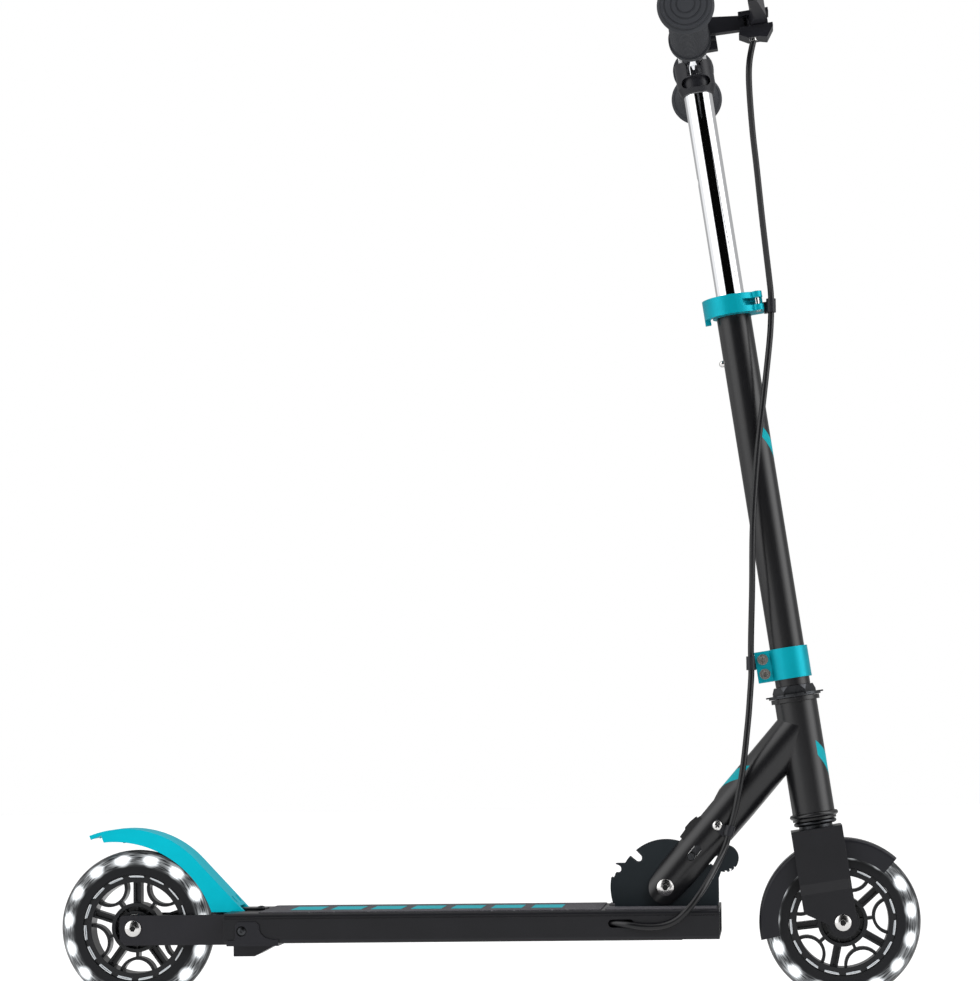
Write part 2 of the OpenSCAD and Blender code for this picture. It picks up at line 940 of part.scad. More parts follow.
// Side view of the strut's slotted end: round nose, then parallel sides
module cheek_outline() {
  circle(r = cheek_r);
  polygon([
    [0, -cheek_r], [0, cheek_r], [14, cheek_w / 2], [36, cheek_w / 2],
    [38, 17], [52, 18], [61, cheek_w / 2], [78, cheek_w / 2],
    [tube_from, strut_d / 2], [tube_from + 6, strut_d / 2],
    [tube_from + 6, -strut_d / 2], [tube_from, -strut_d / 2], [14, -cheek_w / 2]
  ]);
}

// Button well in the strut's upper rear side
button_x0 = 44.5;
button_x1 = 58.5;
button_y = 7.2;

module neck_frame() {
  head_r = head_d / 2;
  color(black)
    difference() {
      union() {
        on_column(head_bot)
          cylinder(r = head_r, h = head_len);
        on_strut() {
          rotate([0, 90, 0])
            translate([0, 0, tube_from])
              cylinder(r = strut_d / 2, h = strut_len - tube_from);
          // Slotted end, flattened from the same tube
          intersection() {
            slab_y(-strut_d, strut_d)
              cheek_outline();
            union() {
              translate([-strut_d, 0, 0])
                rotate([0, 90, 0])
                  cylinder(r = strut_d / 2, h = strut_len);
              translate([38, -slot_y - 3, 0])
                cube([23, 2 * slot_y + 6, 18]);
            }
          }
        }
        // Weld bead where the strut meets the head tube
        on_column(strut_t)
          rotate([0, 0, 180])
            translate([head_r - 5, 0, 0])
              sphere(r = 4);
      }
      on_column(head_bot - 1)
        cylinder(r = head_bore / 2, h = head_len + 2);
      on_strut() {
        // Slot that the quadrant runs in
        translate([-strut_d, -slot_y, -strut_d])
          cube([strut_d + slot_len, 2 * slot_y, 2 * strut_d]);
        // Hollow of the tube above the slot
        rotate([0, 90, 0])
          translate([0, 0, slot_len + 8])
            cylinder(r = strut_d / 2 - 2.5, h = strut_len - slot_len - 8 - head_r + 3);
        cyl_y(pivot_d / 2 + run_fit, -strut_d, strut_d);
        // Slots that the lock pins show in
        slab_y(-strut_d, strut_d)
          slot_outline(lock_r, lock_r + lock_travel + 0.5, lock_pin_r + free_gap);
        // Grooves that the yoke's arms slide in
        translate([0, 0, 0])
          slab_y(-slot_y - 2.6, slot_y + 2.6)
            slot_outline(lock_r, slot_len - 3.5, lock_pin_r + free_gap);
      }
    }
}

// Yoke: two lock pins on arms, joined by a bar beyond the quadrant
module lock_yoke() {
  color(steel)
    on_strut() {
      both_sides() {
        slab_y(slot_y + free_gap, slot_y + 2.3)
          slot_outline(lock_r, 50, lock_pin_r);
        translate([lock_r, 0, 0])
          cyl_y(lock_pin_r, slot_y + 1, strut_d / 2 - 1);
      }
      slab_y(-slot_y - 1, slot_y + 1)
        slot_outline(50 - 0.4, 50, lock_pin_r);
    }
}

module release_button() {
  color(plastic)
    on_strut()
      intersection() {
        translate([button_x0, -button_y, 8])
          cube([button_x1 - button_x0, 2 * button_y, 12]);
        slab_y(-button_y, button_y)
          union() {
            polygon([
              [button_x0, 8], [button_x1, 8], [button_x1, 17.4], [52, 18.6],
              [button_x0 + 2, 18.6], [button_x0, 17]
            ]);
          }
      }
}

module fold_bolt() {
  color(steel)
    translate([pivot_x, 0, pivot_z]) {
      cyl_y(pivot_d / 2, -strut_d / 2, strut_d / 2);
      head_near(-strut_d / 2, bolt_head_r + 0.2, bolt_head_h, 2.5);
      mirror([0, 1, 0])
        head_near(-strut_d / 2, bolt_head_r + 0.2, bolt_head_h, 2.5);
    }
}

module upper_cup() {
  color(black)
    on_column(head_top)
      difference() {
        union() {
          cylinder(r = 19.5, h = upper_cup_h);
          translate([0, 0, -9])
            cylinder(r = head_bore / 2 - run_fit, h = 10);
        }
        translate([0, 0, -10])
          cylinder(r = steerer_d / 2 + run_fit, h = 20);
      }
}

module lower_cup() {
  color(black)
    on_column(head_bot)
      difference() {
        union() {
          translate([0, 0, -lower_cup_h]) {
            cylinder(r = 17.5, h = lower_cup_h);
            rotate_extrude()
              translate([17.5, lower_cup_h - 2])
                circle(r = 2);
          }
          translate([0, 0, -1])
            cylinder(r = head_bore / 2 - run_fit, h = 10);
        }
        translate([0, 0, -10])
          cylinder(r = steerer_d / 2 + run_fit, h = 20);
      }
}

// Clip on the strut that leads the cable down, with its screw
guide_x = 67.7;
guide_y = -20.5;
guide_z = -10.3;
guide_tilt = 24.3;

module cable_guide() {
  ring_r = cable_d / 2 + 1.8;
  on_strut() {
    color(plastic)
      difference() {
        union() {
          translate([guide_x, guide_y, guide_z])
            rotate([0, 90 - guide_tilt, 0])
              cylinder(r = ring_r, h = 8, center = true);
          // Tongue under the screw
          translate([guide_x - 7, -strut_d / 2 - 1.6, guide_z])
            cube([8, 6, 14]);
          translate([guide_x - 3.5, guide_y, guide_z - 2.5])
            cube([7, 9, 6]);
        }
        translate([guide_x, guide_y, guide_z])
          rotate([0, 90 - guide_tilt, 0])
            cylinder(r = cable_d / 2 + free_gap, h = 30, center = true);
        // Saddle that fits the strut
        rotate([0, 90, 0])
          cylinder(r = strut_d / 2 + run_fit, h = strut_len);
      }
    color(steel)
      translate([guide_x - 3, -strut_d / 2 - 1.6, guide_z + 10])
        rotate([90, 0, 0])
          bolt_head(3.6, 1.6, 1.4);
  }
}

// ---------------------------------------------------------------- fork and column

// Side view of a fork plate in the column's frame
module fork_outline() {
  boss = 11.5;
  straight = crown_top - 65;
  rear_edge = -fork_w / 2;
  polygon([
    [rear_edge, crown_top], [fork_w / 2, crown_top], [fork_w / 2, axle_t],
    [axle_lx, axle_t - boss / 2], [axle_lx - boss, axle_t], [rear_edge, straight]
  ]);
  translate([axle_lx, axle_t])
    circle(r = boss);
}

// Bent sheet of a fork leg, seen from the front
module leg_section() {
  out = crown_w / 2;
  low = out - fork_joggle / 2;
  bend = axle_t + 26;
  polygon([
    [out, crown_top], [out, bend + 8], [low, bend], [low, 0],
    [low - fork_t, 0], [low - fork_t, bend], [out - fork_t, bend + 8], [out - fork_t, crown_top]
  ]);
}

fork_low_in = crown_w / 2 - fork_joggle / 2 - fork_t;
fork_low_out = fork_low_in + fork_t;

module fork() {
  color(black)
    on_column()
      difference() {
        union() {
          both_sides()
            intersection() {
              slab_y(0, crown_w)
                fork_outline();
              translate([-fork_w, 0, 0])
                bar_x(2 * fork_w)
                  leg_section();
            }
          // Crown
          translate([-fork_w / 2, -crown_w / 2, crown_top - crown_t])
            cube([fork_w, crown_w, crown_t]);
          // Steerer
          translate([0, 0, crown_top - 1])
            cylinder(r = steerer_d / 2, h = steerer_top - crown_top + 1);
        }
        translate([0, 0, crown_top + 4])
          cylinder(r = steerer_d / 2 - 2.5, h = steerer_top);
        translate([axle_lx, 0, axle_t])
          cyl_y(axle_r + run_fit, -crown_w, crown_w);
      }
}

module crown_race() {
  color(steel)
    on_column(crown_top)
      difference() {
        union() {
          cylinder(r = 13.5, h = race_h);
          translate([0, 0, race_h - 3.6])
            cylinder(r = 15.5, h = 3.6);
          translate([0, 0, race_h - 1.8])
            rotate_extrude()
              translate([15.5, 0])
                circle(r = 1.7);
        }
        translate([0, 0, -1])
          cylinder(r = steerer_d / 2 + run_fit, h = race_h + 2);
      }
}

module front_axle() {
  translate([front_x, 0, wheel_r])
    axle_set(fork_low_in, fork_low_out);
}

// Front fender: a channel bent round the tyre, with a boss under the crown
guard_t = 2.2;

module guard_section() {
  skirt_in = 51;
  difference() {
    translate([skirt_in, -guard_w / 2])
      square([guard_r - skirt_in, guard_w]);
    translate([skirt_in - 1, -guard_w / 2 + guard_t])
      square([guard_r - skirt_in + 1 - guard_t, guard_w - 2 * guard_t]);
    // Rounded outer edges
    for (s = [-1, 1])
      translate([guard_r - 3, s * (guard_w / 2 - 3)])
        difference() {
          translate([0, s * 1.5 - 1.5])
            square([3.1, 3.1]);
          circle(r = 3);
        }
  }
}

module front_fender() {
  from = 49;
  to = 192;
  boss_r = 9;
  color(plastic) {
    translate([front_x, 0, wheel_r])
      rotate([90, 0, 0])
        rotate([0, 0, from])
          rotate_extrude(angle = to - from, $fn = 144)
            guard_section();
    // Boss up to the crown
    difference() {
      on_column(axle_t + guard_r - 6)
        translate([axle_lx * 0.5, 0, 0])
          cylinder(r = boss_r, h = crown_top - crown_t - axle_t - guard_r + 6);
      translate([front_x, 0, wheel_r])
        cyl_y(guard_r - guard_t / 2, -guard_w, guard_w);
    }
  }
}

module column_tube() {
  color(black)
    on_column(tube_t0)
      difference() {
        cylinder(r = column_d / 2, h = column_len);
        translate([0, 0, -1])
          cylinder(r = column_bore / 2, h = column_len + 2);
        // Hole for the snap button, in the rear
        translate([0, 0, snap_t - tube_t0])
          rotate([0, -90, 0])
            cylinder(r = snap_r + run_fit, h = column_d);
      }
}

module lock_nut() {
  color(steel)
    on_column(nut_t0)
      difference() {
        intersection() {
          cylinder(r = 17.5, h = nut_h, $fn = 6);
          translate([0, 0, -0.5])
            cylinder(r1 = 18.6, r2 = 15.6, h = nut_h + 1);
        }
        translate([0, 0, -1])
          cylinder(r = steerer_d / 2 + run_fit, h = nut_h + 2);
      }
}

module lock_washer() {
  color(black)
    on_column(washer_t0)
      difference() {
        union() {
          cylinder(r = 21, h = washer_h);
          for (a = [0 : 60 : 300])
            rotate(a)
              translate([18, -3, washer_h - 1.2])
                cube([5.2, 6, 1.2]);
        }
        translate([0, 0, -1])
          cylinder(r = steerer_d / 2 + run_fit, h = washer_h + 2);
      }
}

clamp_r = 16.2;
clamp_ear = 27;
clamp_bolt_x = -20.8;

module lower_clamp() {
  ear_half = 6.5;
  color(teal)
    on_column(clamp_t0)
      difference() {
        union() {
          cylinder(r = clamp_r, h = clamp_h);
          translate([-clamp_ear, -ear_half, 0])
            cube([clamp_ear, 2 * ear_half, clamp_h]);
        }
        translate([0, 0, -1])
          cylinder(r = column_d / 2 + run_fit, h = clamp_h + 2);
        translate([-clamp_ear - 1, -1, -1])
          cube([clamp_ear, 2, clamp_h + 2]);
        for (z = [-1, 1])
          translate([clamp_bolt_x, 0, clamp_h / 2 + z * clamp_h * 0.235])
            cyl_y(2.6, -ear_half - 1, ear_half + 1);
      }
}

module clamp_bolts() {
  color("#3c3f43")
    on_column(clamp_t0)
      for (z = [-1, 1])
        translate([clamp_bolt_x, 0, clamp_h / 2 + z * clamp_h * 0.235]) {
          cyl_y(2.5, -6.5, 6.5);
          difference() {
            cyl_y(4.3, -10.5, -6.5);
            translate([0, -11, 0])
              rotate([-90, 0, 0])
                cylinder(r = 2.4, h = 3, $fn = 6);
          }
        }
}

// Quick-release pivot beside the collar's ears
qr_x = 20.4;
qr_y = -13.2;
qr_r = 4.9;
collar_r = 17;
ear_face = 7.6;

module upper_collar() {
  color(teal)
    on_column(collar_t0)
      difference() {
        union() {
          cylinder(r = collar_r, h = collar_h);
          translate([0, -ear_face, 0])
            cube([qr_x + 4.5, 2 * ear_face, collar_h]);
        }
        translate([0, 0, -1])
          cylinder(r = column_d / 2 + run_fit, h = collar_h);
        translate([0, 0, collar_h - 2])
          cylinder(r = mast_d / 2 + free_gap, h = 4);
        // Split at the front
        translate([0, -1, -1])
          cube([40, 2, collar_h + 2]);
        // Hole for the cross bolt
        translate([qr_x, 0, collar_h / 2])
          cyl_y(2.6, -12, 12);
      }
}

// Cross bolt, its nut on the far side and the pin that the lever turns on
module collar_bolt() {
  color(steel)
    on_column(collar_t0)
      difference() {
        union() {
          translate([qr_x, 0, collar_h / 2]) {
            cyl_y(2.5, qr_y + 1, ear_face + 1);
            translate([0, ear_face + 4.5, 0])
              rotate([90, 0, 0])
                cylinder(r = 5, h = 4.5, $fn = 6);
          }
          translate([qr_x, qr_y, -0.6])
            cylinder(r = 2.2, h = collar_h + 1.2);
        }
      }
}

// Part of a ring between two angles less than 180 degrees apart
module ring_sector(inner, outer, from, to) {
  mid = (from + to) / 2;
  intersection() {
    difference() {
      circle(r = outer);
      circle(r = inner);
    }
    polygon([
      [0, 0], [3 * outer * cos(from), 3 * outer * sin(from)],
      [3 * outer * cos(mid), 3 * outer * sin(mid)],
      [3 * outer * cos(to), 3 * outer * sin(to)]
    ]);
  }
}

module qr_lever() {
  inner = collar_r + 2;
  outer = inner + 4.6;
  from = 178;
  hook = 12;
  color(teal)
    on_column(collar_t0)
      difference() {
        union() {
          // Arm wrapped round the near side, and the cam round the pivot pin
          linear_extrude(collar_h) {
            ring_sector(inner, outer, from + hook, from + 146);
            translate([qr_x, qr_y])
              circle(r = qr_r);
          }
          // Hook that turns down at the rear, to pull with a finger
          translate([0, 0, -4])
            linear_extrude(collar_h + 4)
              ring_sector(inner, outer, from, from + hook);
        }
        // Fork slot for the cross bolt
        translate([9, -40, collar_h / 2 - 2.8])
          cube([40, 40, 5.6]);
        translate([qr_x, qr_y, -1])
          cylinder(r = 2.2 + run_fit, h = collar_h + 2);
        // Clear the collar's ears
        translate([0, -ear_face - free_gap, -5])
          cube([40, 30, 30]);
      }
}

// Clips that hold the cable on the column; their bores stand upright
lower_clip_x = -30.5;
lower_clip_y = -8;
upper_clip_x = 31;
upper_clip_y = -12;
clip_len = 11;

module clip_ring(x, y, t, wall) {
  translate([x, y, t])
    rotate([0, lean, 0])
      cylinder(r = cable_d / 2 + wall, h = clip_len, center = true);
}

module clip_bore(x, y, t) {
  translate([x, y, t])
    rotate([0, lean, 0])
      cylinder(r = cable_d / 2 + free_gap, h = 3 * clip_len, center = true);
}

module lower_cable_clip() {
  t = clamp_t0 + clamp_h * 0.68;
  color(plastic)
    on_column()
      difference() {
        union() {
          clip_ring(lower_clip_x, lower_clip_y, t, 1.8);
          translate([lower_clip_x, lower_clip_y + 0.5, t - clip_len / 2])
            cube([-clamp_ear - lower_clip_x, 5, clip_len]);
        }
        clip_bore(lower_clip_x, lower_clip_y, t);
        // Flat that meets the clamp's ear
        translate([-clamp_ear, -15, clamp_t0])
          cube([10, 30, clamp_h]);
      }
}

module upper_cable_clip() {
  t = collar_t0 + 2.5;
  color(plastic)
    on_column()
      difference() {
        union() {
          clip_ring(upper_clip_x, upper_clip_y, t, 1.8);
          translate([qr_x + 4.5, -7.2, collar_t0 - 2])
            cube([6, 5.2, 9]);
          translate([28, upper_clip_y, collar_t0 - 2])
            cube([4, 9, 9]);
        }
        clip_bore(upper_clip_x, upper_clip_y, t);
      }
}

// Spring button in the rear of the column tube, flush with its bore at rest
module snap_button() {
  color(steel)
    on_column(snap_t)
      rotate([0, -90, 0])
        translate([0, 0, column_bore / 2]) {
          cylinder(r = snap_r, h = (column_d - column_bore) / 2 + 1);
          translate([0, 0, (column_d - column_bore) / 2 + 1])
            sphere(r = snap_r);
        }
}

// ---------------------------------------------------------------- mast

module mast_tube() {
  mast_bot = column_top - mast_in;
  color(chrome)
    on_column()
      difference() {
        translate([0, 0, mast_bot])
          cylinder(r = mast_d / 2, h = bar_t - mast_bot);
        translate([0, 0, mast_bot - 1])
          cylinder(r = mast_d / 2 - mast_wall, h = bar_t - mast_bot);
        translate([0, 0, bar_t])
          cyl_y(bar_r + run_fit, -mast_d, mast_d);
        // Holes for the snap button, at both heights
        for (t = [snap_t, snap_t + mast_drop])
          translate([0, 0, t])
            rotate([0, -90, 0])
              cylinder(r = snap_r + free_gap, h = mast_d);
      }
}

module handlebar() {
  color(chrome)
    on_column(bar_t)
      difference() {
        cyl_y(bar_r, -bar_w / 2 + 4, bar_w / 2 - 4);
        cyl_y(bar_r - 1.5, -bar_w / 2, bar_w / 2);
        // Holes for the snap buttons
        for (s = [-1, 1])
          translate([0, s * ball_y, 0])
            rotate([0, -ball_angle, 0])
              cylinder(r = ball_r + run_fit, h = bar_d);
      }
}

// Half section of a grip along the bar, from its inner end to its outer end
module grip_profile() {
  bore = bar_r + run_fit;
  r = grip_d / 2;
  flange = flange_d / 2;
  rib_n = 22;
  rib_from = 12;
  rib_pitch = (grip_len - 26) / rib_n;
  difference() {
    union() {
      translate([bore, 0])
        square([r - bore, grip_len - 4]);
      // Inner collar
      translate([bore, 0])
        square([r + 1.5 - bore, 7]);
      // Outer flange with rounded rims
      translate([bore, grip_len - 9])
        square([flange - 3 - bore, 6]);
      translate([flange - 3, grip_len - 6])
        circle(r = 3);
      polygon([
        [r, grip_len - 16], [flange - 3, grip_len - 9], [r - 2, grip_len - 9]
      ]);
      // Closed end
      translate([0, grip_len - 3.5])
        square([flange - 3, 3.5]);
    }
    for (i = [0 : rib_n - 1])
      translate([r + 0.4, rib_from + i * rib_pitch])
        circle(r = 1.3, $fn = 24);
    // Rings in the end face
    for (q = [0.32, 0.52, 0.74])
      translate([q * flange, grip_len])
        square([1.4, 1.4], center = true);
  }
}

module grip_body() {
  color("#34363a")
    on_column(bar_t)
      translate([0, grip_y0, 0])
        rotate([-90, 0, 0])
          rotate_extrude()
            grip_profile();
}

module left_grip() {
  grip_body();
}

module right_grip() {
  color("#34363a")
    on_column(bar_t)
      translate([0, -grip_y0, 0])
        rotate([90, 0, 0])
          rotate_extrude()
            grip_profile();
}

// Holder on the mast, just under the bar: a flared ring with two upright shells
holder_t = bar_t - 33;

module grip_holder() {
  r_in = mast_d / 2 + touch_gap;
  r_out = mast_d / 2 + 4;
  ring_h = 14;
  color(plastic)
    on_column(holder_t)
      difference() {
        union() {
          cylinder(r1 = r_out - 2, r2 = r_out, h = 6);
          translate([0, 0, 6])
            cylinder(r = r_out, h = ring_h + 6);
        }
        translate([0, 0, -1])
          cylinder(r = r_in, h = ring_h + 14);
        // Opening between the shells
        translate([-6, -r_out - 1, ring_h])
          cube([12, 2 * r_out + 2, 13]);
        // Clearance for the bar
        translate([0, 0, bar_t - holder_t])
          cyl_y(bar_r + free_gap, -r_out - 1, r_out + 1);
        // Shallow recess on both faces of the ring
        difference() {
          translate([0, 0, 8.5])
            slab_y(-r_out - 1, r_out + 1)
              slot_outline(-7.5, 7.5, 4.2);
          cylinder(r = r_in + 0.9, h = 20);
        }
      }
}

module bar_snap_balls() {
  color(steel)
    on_column(bar_t)
      for (s = [-1, 1])
        translate([0, s * ball_y, 0])
          rotate([0, -ball_angle, 0]) {
            translate([0, 0, bar_r - 3])
              cylinder(r = ball_r, h = 3.6);
            translate([0, 0, bar_r + 0.6])
              sphere(r = ball_r);
          }
}

// Brake lever mount: split clamp round the bar, arm and lever housing
mount_w = 9;
house_x0 = 41;
house_x1 = 67;
ferrule_z = -10.5;
pivot_lx = 54;

// Puts children at the inner end of the right grip, where the mount is clamped
module on_mount() {
  on_column(bar_t)
    translate([0, -grip_y0, 0])
      children();
}

module brake_mount() {
  y0 = 0.5;
  color(plastic)
    on_mount()
      difference() {
        union() {
          cyl_y(bar_r + 3.6, y0, y0 + mount_w);
          // Arm forward from the clamp, rising from its top
          slab_y(y0, y0 + mount_w)
            polygon([
              [0, 3], [bar_r, 3], [house_x0 + 4, 2], [house_x0 + 4, 13],
              [bar_r + 6, 16.5], [3, bar_r + 3.4]
            ]);
          // Clamp ear below the arm
          translate([bar_r - 4, y0, -10])
            cube([14, mount_w, 11]);
          // Housing: lower jaw, back and upper jaw
          slab_y(-10, 10)
            polygon([
              [house_x0 - 2, -4], [house_x0 + 5, -8], [house_x0 + 14, -8],
              [house_x1 - 6, -9.5], [house_x1, -1],
              [house_x1, 1.5], [house_x0, 1.5]
            ]);
          translate([house_x0, 7.5, 1.4])
            cube([house_x1 - house_x0 - 3, 2.5, 11]);
          translate([house_x0, -10, 10.5])
            cube([house_x1 - house_x0 - 2, 20, 3.5]);
        }
        cyl_y(bar_r + run_fit, y0 - 1, y0 + mount_w + 1);
        // Split in the clamp ear
        translate([bar_r - 2, y0 - 1, -3])
          cube([20, mount_w + 2, 1.6]);
        // Bore for the lever's pivot
        translate([pivot_lx, 0, -6])
          cylinder(r = 2.5 + run_fit, h = 40);
      }
}

// Outline of the lever, seen from above: x forward and y sideways
module lever_outline() {
  translate([pivot_lx, 0])
    circle(r = 7);
  polygon([
    [pivot_lx - 6, 2], [pivot_lx + 7, 0], [62, -14], [62, -32], [58, -60], [55, -82],
    [48, -82], [50, -60], [52, -32], [50, -14]
  ]);
  translate([51.5, -82])
    circle(r = 3.6);
}

module brake_lever() {
  color(plastic)
    on_mount() {
      translate([0, 0, 1.9])
        linear_extrude(8.2)
          lever_outline();
      // Finger pad that stands up from the blade
      translate([0, 0, 9])
        linear_extrude(17)
          intersection() {
            lever_outline();
            translate([40, -79])
              square([40, 65]);
          }
      translate([pivot_lx, 0, -5])
        cylinder(r = 2.5, h = 19);
    }
}

module cable_ferrule() {
  color(steel)
    on_mount()
      translate([pivot_lx - 4, -6, ferrule_z])
        difference() {
          cylinder(r = 3.2, h = 2.5);
          translate([0, 0, -1])
            cylinder(r = cable_d / 2 + 0.5, h = 4);
        }
}

// ---------------------------------------------------------------- brake cable

// Route from the lever down the column, across the neck and into the deck
route = [
  [225, -58, 763.4], [221.5, -57.5, 746], [221, -54, 727], [223, -46, 694], [226, -38, 664],
  [230, -28, 622], [234.5, -15, 580],
  [235.7, -12, 567], [235.7, -12, 557.5], [235.5, -12, 548], [234, -15, 528], [229, -20, 486],
  [223.5, -22, 443], [220, -22, 405], [218, -22, 372], [217, -19, 330], [215.6, -10, 294],
  [215.2, -8, 280], [215.2, -8, 270], [215.2, -8, 260], [214, -11, 244], [212, -16, 222],
  [207.5, -20, 186], [202, -21, 157], [199, -20.6, 145],
  [196, -20.5, 135], [193, -21.5, 125], [188, -28, 114], [181.5, -39, 102], [174, -49, 90],
  [165, -54.2, 78], [154, -55, 67.5], [142, -54.8, 63], [128, -54, 62.5], [115, -52.5, 64.2],
  [103, -46, 65.3], [88, -39, 65.5], [60, -37, 65.5],
  [-20, -36.5, 65.5], [-90, -36, 65], [-112, -28, 63], [-135, -12, 60], [-158, -3, 56.5],
  [-176, 0, 50.5], [-194, 0, 46.2]
];
clip_up = 8;
clip_low = 18;
clip_neck = 25;
clip_deck = 36;

// Catmull-Rom curve through a list of points, n rings to a span
function spline(p, i, u) =
  let (
    a = p[max(i - 1, 0)],
    b = p[i],
    c = p[min(i + 1, len(p) - 1)],
    d = p[min(i + 2, len(p) - 1)]
  )
  0.5 * (2 * b + (c - a) * u + (2 * a - 5 * b + 4 * c - d) * u * u
    + (3 * b - a - 3 * c + d) * u * u * u);

// Ring centres from one point to another, with one more beyond each end
function stretch(p, from, to, n) = [
  for (k = [from * n - 1 : to * n + 1])
    let (i = min(max(floor(k / n), 0), len(p) - 2))
      spline(p, i, k / n - i)
];

function unit(v) = v / norm(v);

// Sweeps a polygon along a list of ring centres. The first and last centres only
// set the direction of the end faces, so pieces that share an end meet face to face.
module sweep(pts, r, sides) {
  n = len(pts) - 2;
  rings = [
    for (i = [1 : n])
      let (
        u = unit(cross(pts[i + 1] - pts[i - 1], [0, 1, 0])),
        v = unit(cross(pts[i + 1] - pts[i - 1], u))
      )
      for (k = [0 : sides - 1])
        pts[i] + r * (cos(k * 360 / sides) * u + sin(k * 360 / sides) * v)
  ];
  faces = [
    [for (k = [0 : sides - 1]) k],
    for (i = [0 : n - 2], k = [0 : sides - 1])
      [
        i * sides + k, (i + 1) * sides + k,
        (i + 1) * sides + (k + 1) % sides, i * sides + (k + 1) % sides
      ],
    [for (k = [sides - 1 : -1 : 0]) (n - 1) * sides + k]
  ];
  polyhedron(points = rings, faces = faces, convexity = 6);
}

module cable_piece(from, to, n) {
  color("#17181a")
    sweep(stretch(route, from, to, n), cable_d / 2, 10);
}

module cable_upper() {
  cable_piece(0, clip_up, 2);
}

module cable_column() {
  cable_piece(clip_up, clip_low, 2);
}

module cable_steering() {
  cable_piece(clip_low, clip_neck, 2);
}

module cable_fold() {
  cable_piece(clip_neck, clip_deck, 2);
}

module cable_deck() {
  cable_piece(clip_deck, len(route) - 1, 2);
}

// ---------------------------------------------------------------- assembly

deck();
grip_tape();
front_grip_pads();
fold_quadrants();
rear_stays();
rear_axle();
brake_cover();
deck_screws();
fender_bracket();
fender_pin();
fender_spring();
brake_rocker();
rocker_pin();
brake_pad();
wheel_core(rear_x, rear_phase);  // rear_core
wheel_tyre(rear_x);  // rear_tyre
wheel_bearings(rear_x);  // rear_bearings
wheel_leds(rear_x);  // rear_leds
rear_fender();
fender_pad();
neck_frame();
fold_bolt();
upper_cup();
lower_cup();
cable_guide();
lock_yoke();
release_button();
fork();
crown_race();
column_tube();
lock_nut();
lock_washer();
lower_clamp();
clamp_bolts();
upper_collar();
collar_bolt();
lower_cable_clip();
upper_cable_clip();
front_fender();
front_axle();
qr_lever();
snap_button();
wheel_core(front_x, front_phase);  // front_core
wheel_tyre(front_x);  // front_tyre
wheel_bearings(front_x);  // front_bearings
wheel_leds(front_x);  // front_leds
mast_tube();
handlebar();
left_grip();
right_grip();
grip_holder();
bar_snap_balls();
brake_mount();
cable_ferrule();
brake_lever();
cable_upper();
cable_column();
cable_steering();
cable_fold();
cable_deck();
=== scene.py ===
"""Looks of the kick scooter: materials, the cable, wheel trim and generic markings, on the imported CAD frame."""
import math

import bpy
from mathutils import Matrix, Vector


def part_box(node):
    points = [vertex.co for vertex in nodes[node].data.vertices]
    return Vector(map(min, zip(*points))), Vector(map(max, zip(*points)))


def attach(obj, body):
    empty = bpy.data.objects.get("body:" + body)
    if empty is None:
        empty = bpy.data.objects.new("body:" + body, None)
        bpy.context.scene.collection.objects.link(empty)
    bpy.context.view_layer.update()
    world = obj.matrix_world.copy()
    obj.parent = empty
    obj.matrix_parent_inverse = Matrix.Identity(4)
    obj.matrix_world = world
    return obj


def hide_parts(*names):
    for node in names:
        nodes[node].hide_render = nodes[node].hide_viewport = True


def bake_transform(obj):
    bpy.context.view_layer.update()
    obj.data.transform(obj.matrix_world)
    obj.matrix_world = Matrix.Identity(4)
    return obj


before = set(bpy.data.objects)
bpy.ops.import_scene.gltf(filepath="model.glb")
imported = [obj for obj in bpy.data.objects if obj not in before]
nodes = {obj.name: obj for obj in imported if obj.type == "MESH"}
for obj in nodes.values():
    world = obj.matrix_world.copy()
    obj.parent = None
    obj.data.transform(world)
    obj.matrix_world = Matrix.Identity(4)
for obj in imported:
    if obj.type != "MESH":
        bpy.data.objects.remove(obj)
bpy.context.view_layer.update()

# ------------------------------------------------------------------ sizes, in metres

WHEEL_R = 0.0625
REAR_AXLE = Vector((-0.285, 0.0, WHEEL_R))
FRONT_AXLE = Vector((0.285, 0.0, WHEEL_R))
NEAR_SIDE = Vector((0.0, -1.0, 0.0))

# The column leans back from upright. Its heights are measured from the floor below the front axle
LEAN = math.radians(8.23)
UP = Vector((-math.sin(LEAN), 0.0, math.cos(LEAN)))
FORWARD = Vector((math.cos(LEAN), 0.0, math.sin(LEAN)))
COLUMN_FOOT = Vector((FRONT_AXLE.x, 0.0, 0.0))

# The strut rises from the fold bolt
FOLD_PIVOT = Vector((0.1441, 0.0, 0.0913))
STRUT_ANGLE = math.radians(49.376)
STRUT_UP = Vector((math.cos(STRUT_ANGLE), 0.0, math.sin(STRUT_ANGLE)))
STRUT_OUT = Vector((-math.sin(STRUT_ANGLE), 0.0, math.cos(STRUT_ANGLE)))

COLUMN_R, HEAD_R, STRUT_R = 0.014, 0.017, 0.017
CABLE_R = 0.0025
# Lights in each tyre, and the radius that they shine at
LIGHTS = 15
GLOW_R = 0.0558

# ------------------------------------------------------------------ node helpers

def link(tree, a, b):
    tree.links.new(a, b)


def feed(tree, socket, value):
    """Puts a number, a colour or another node's output on a socket."""
    if isinstance(value, (int, float)):
        socket.default_value = value
    elif isinstance(value, tuple):
        socket.default_value = (*value, 1)
    else:
        link(tree, value, socket)


def math_node(tree, kind, a, b=None):
    n = tree.nodes.new("ShaderNodeMath")
    n.operation = kind
    feed(tree, n.inputs[0], a)
    if b is not None:
        feed(tree, n.inputs[1], b)
    return n.outputs[0]


def length_node(tree, a, b):
    """The square root of a squared plus b squared."""
    squares = math_node(tree, "ADD", math_node(tree, "MULTIPLY", a, a), math_node(tree, "MULTIPLY", b, b))
    return math_node(tree, "SQRT", squares)


